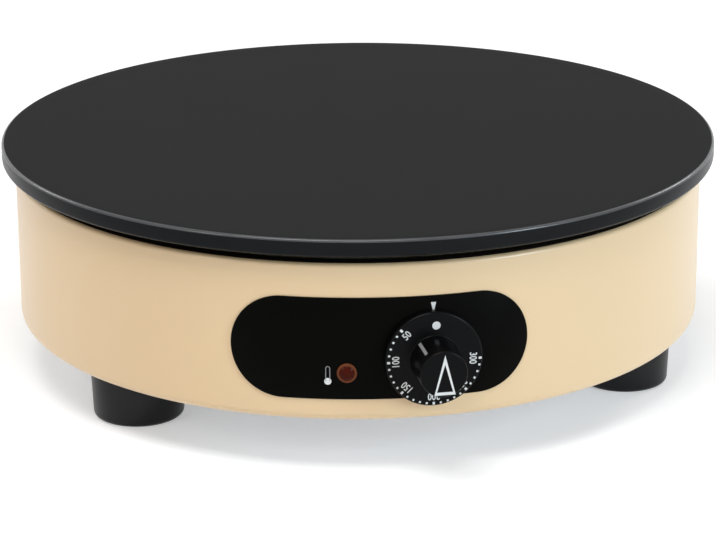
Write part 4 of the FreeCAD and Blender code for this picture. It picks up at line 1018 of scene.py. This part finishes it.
@dataclass
class Feet:
    """The three moulded feet, tapered a little towards the floor."""

    height: float = 28.2 * MM
    low_radius: float = 24.7 * MM
    top_radius: float = 25.7 * MM
    low_round: float = 3.0 * MM
    top_round: float = 0.5 * MM
    recess_radius: float = 8.5 * MM
    recess: float = 12.0 * MM
    bore: float = 3.3 * MM
    circle: float = 157.3 * MM
    turns: tuple[tuple[str, float], ...] = (("foot_right", -22.6), ("foot_rear", 97.4), ("foot_left", 217.4))
    sides: int = 128

    def build(self, shop: Workshop) -> None:
        """Make the feet, each in the place of its own solid."""
        profile: Profile = [(self.bore, self.recess), (self.recess_radius, self.recess)]
        profile += [(self.recess_radius, 0.0)]
        profile += bend((self.low_radius - self.low_round, self.low_round), self.low_round, -90, 0, 8)
        corner = (self.top_radius - self.top_round, self.height - self.top_round)
        profile += bend(corner, self.top_round, 0, 90, 3)
        profile += [(self.bore, self.height)]
        for node, turn in self.turns:
            foot = lathe(f"moulded_{node}", profile, self.sides, around(self.circle, turn))
            shop.hand_over(foot, CHASSIS, FOOT_BLACK, [node])


@dataclass
class RearGland:
    """The gland's domed cap nut with grip ribs, in place of its plain solid."""

    turn: float = 180.0
    level: float = 55.0 * MM
    wall_hole: float = 8.3 * MM
    back: float = 198.1 * MM
    length: float = 15.0 * MM
    radius: float = 10.5 * MM
    inner: float = 8.1 * MM
    mouth: float = 5.5 * MM
    wall: float = 2.0 * MM
    nose_round: float = 4.0 * MM
    ribs: int = 24
    rib_depth: float = 0.45 * MM

    def build(self, shop: Workshop) -> None:
        """Make the cap nut: a turned body whose outer wall is drawn in between its ribs."""
        end = self.back + self.length
        straight_end = end - self.nose_round
        profile: Profile = [(self.inner, self.back), (self.radius, self.back)]
        profile += [(self.radius, self.back + (straight_end - self.back) * k / 5) for k in range(1, 5)]
        profile += bend((self.radius - self.nose_round, straight_end), self.nose_round, 0, 90, 8)
        profile += [(self.mouth, end), (self.mouth, end - self.wall), (self.inner, end - self.wall)]
        frame = outward_frame(self.turn, self.level)
        cap = lathe("gland_cap_nut", profile, self.ribs * 6, frame)
        back_to_frame = frame.inverted()
        for vertex in cap.data.vertices:
            local = back_to_frame @ vertex.co
            reach = math.hypot(local.x, local.y)
            inside_span = self.back + MM < local.z < straight_end + MM / 10
            if reach > self.radius - 1e-5 and inside_span:
                phase = math.atan2(local.y, local.x) * self.ribs
                drawn = self.rib_depth * (0.5 - 0.5 * math.cos(phase))
                share = (reach - drawn) / reach
                vertex.co = frame @ Vector((local.x * share, local.y * share, local.z))
        shop.hand_over(cap, CHASSIS, BLACK_NYLON, ["gland_cap"])


class Carried:
    """The solids that stay as they are, each dressed in the finish of its slot."""

    def build(self, shop: Workshop) -> None:
        """Dress every node of the frame in its slot's finish."""
        slots = {row["node"]: row["material_slot"] for row in shop.frame["record"]["subparts"]}
        for node, piece in shop.frame["nodes"].items():
            finish = SLOT_FINISHES[slots[node]]
            piece.data.materials.clear()
            piece.data.materials.append(shop.material(finish))
        LOG.info("%d solids dressed", len(slots))


@dataclass(frozen=True)
class SoftBox:
    """One soft light: where it hangs, how large it is, and its power and tint."""

    name: str
    spot: tuple[float, float, float]
    size: tuple[float, float]
    power: float
    tint: Colour = (1.0, 1.0, 1.0)

    def hang(self, target: Vector) -> None:
        """Hang the light so that it faces a point."""
        light = bpy.data.lights.new(self.name, "AREA")
        light.shape = "RECTANGLE"
        light.size, light.size_y = self.size
        light.energy = self.power
        light.color = self.tint
        holder = linked_object(self.name, light)
        spot = Vector(self.spot)
        aim = (target - spot).to_track_quat("-Z", "Y").to_matrix().to_4x4()
        holder.matrix_world = Matrix.Translation(spot) @ aim


@dataclass
class Studio:
    """The pale floor, the soft lights and the camera at the photograph's angle."""

    focal_pixels: float = 2954.8
    image_width: float = 716.0
    sensor: float = 36.0
    camera_spot: tuple[float, float, float] = (-0.0002, -1.6055, 0.5909)
    camera_turn: float = -2.9
    look_down: float = 18.728
    roll: float = -0.266
    floor_half: float = 6.0
    floor_colour: Colour = (0.84, 0.84, 0.84)
    floor_glow: float = 0.36
    aim_height: float = 80.0 * MM
    world_light: float = 0.22
    boxes: tuple[SoftBox, ...] = (
        SoftBox("key_box", (-0.3, -0.75, 1.9), (1.2, 0.8), 22.0),
        SoftBox("rear_right_box", (1.4, 0.95, 1.05), (0.5, 0.6), 8.0),
        SoftBox("rear_left_box", (-1.4, 0.95, 1.05), (0.5, 0.6), 6.0),
        SoftBox("right_box", (1.5, -1.35, 0.75), (0.5, 0.9), 19.0, (0.72, 0.88, 1.0)),
        SoftBox("left_box", (-1.5, -1.2, 1.1), (0.4, 0.8), 5.5, (1.0, 0.97, 0.92)),
    )

    def camera(self) -> None:
        """Place the camera."""
        lens = bpy.data.cameras.new("camera")
        lens.sensor_width = self.sensor
        lens.sensor_fit = "HORIZONTAL"
        lens.lens = self.focal_pixels / self.image_width * self.sensor
        lens.clip_start = 0.05
        holder = linked_object("camera", lens)
        turn = Matrix.Rotation(math.radians(self.camera_turn), 4, "Z")
        aim = Matrix.Rotation(math.radians(90 - self.look_down), 4, "X")
        lean = Matrix.Rotation(math.radians(self.roll), 4, "Z")
        holder.matrix_world = turn @ Matrix.Translation(self.camera_spot) @ aim @ lean
        bpy.context.scene.camera = holder

    @staticmethod
    def seen_rays(tree: Tree) -> bpy.types.NodeSocket:
        """A value of 1 for camera, glossy and transmission rays, and 0 for the rest."""
        path = place(tree, "LightPath", {}).outputs
        total = path["Is Camera Ray"]
        for label in ("Is Glossy Ray", "Is Transmission Ray"):
            total = place(tree, "Math", {0: total, 1: path[label]}, operation="MAXIMUM").outputs[0]
        return total

    def floor(self) -> None:
        """Lay the floor. To the camera and to mirrors it glows a little, and it keeps its shadow."""
        bm = bmesh.new()
        bmesh.ops.create_grid(bm, x_segments=1, y_segments=1, size=self.floor_half)
        floor = mesh_object("floor", bm)
        material = bpy.data.materials.new("pale_floor")
        material.use_nodes = True
        tree = material.node_tree
        glow = place(tree, "Math", {0: self.seen_rays(tree), 1: self.floor_glow}, operation="MULTIPLY")
        surface = {
            "Base Color": (*self.floor_colour, 1.0),
            "Roughness": 0.9,
            "Specular IOR Level": 0.1,
            "Emission Color": WHITE,
            "Emission Strength": glow.outputs[0],
        }
        feed(tree, tree.nodes["Principled BSDF"], surface)
        floor.data.materials.append(material)

    def world(self) -> None:
        """White to the camera and to mirrors, a soft grey light to everything else."""
        world = bpy.data.worlds.new("studio")
        world.use_nodes = True
        tree = world.node_tree
        span = {"Value": self.seen_rays(tree), "To Min": self.world_light, "To Max": 1.0}
        strength = place(tree, "MapRange", span).outputs["Result"]
        feed(tree, tree.nodes["Background"], {"Color": WHITE, "Strength": strength})
        bpy.context.scene.world = world

    def build(self) -> None:
        """Set up the whole studio."""
        bpy.context.scene.view_settings.view_transform = "Standard"
        self.camera()
        self.floor()
        self.world()
        for box in self.boxes:
            box.hang(Vector((0, 0, self.aim_height)))


def main() -> None:
    """Load the frame, set up the studio, and build the sub-assemblies in order."""
    logging.basicConfig(level=logging.INFO, format="%(name)s %(message)s")
    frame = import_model()
    Studio().build()
    shop = Workshop(frame)
    Carried().build(shop)
    knob, lamp, gland = DialKnob(), Lamp(), RearGland()
    front_holes = [(knob.frame, knob.spindle_hole), (lamp.frame, lamp.wall_hole)] + knob.screw_holes()
    gland_hole = (outward_frame(gland.turn, gland.level), gland.wall_hole)
    CookingPlate().build(shop)
    Drum().build(shop, front_holes + [gland_hole])
    ControlPanel().build(shop, front_holes)
    knob.build(shop)
    lamp.build(shop)
    Feet().build(shop)
    gland.build(shop)


if __name__ == "__main__":
    main()
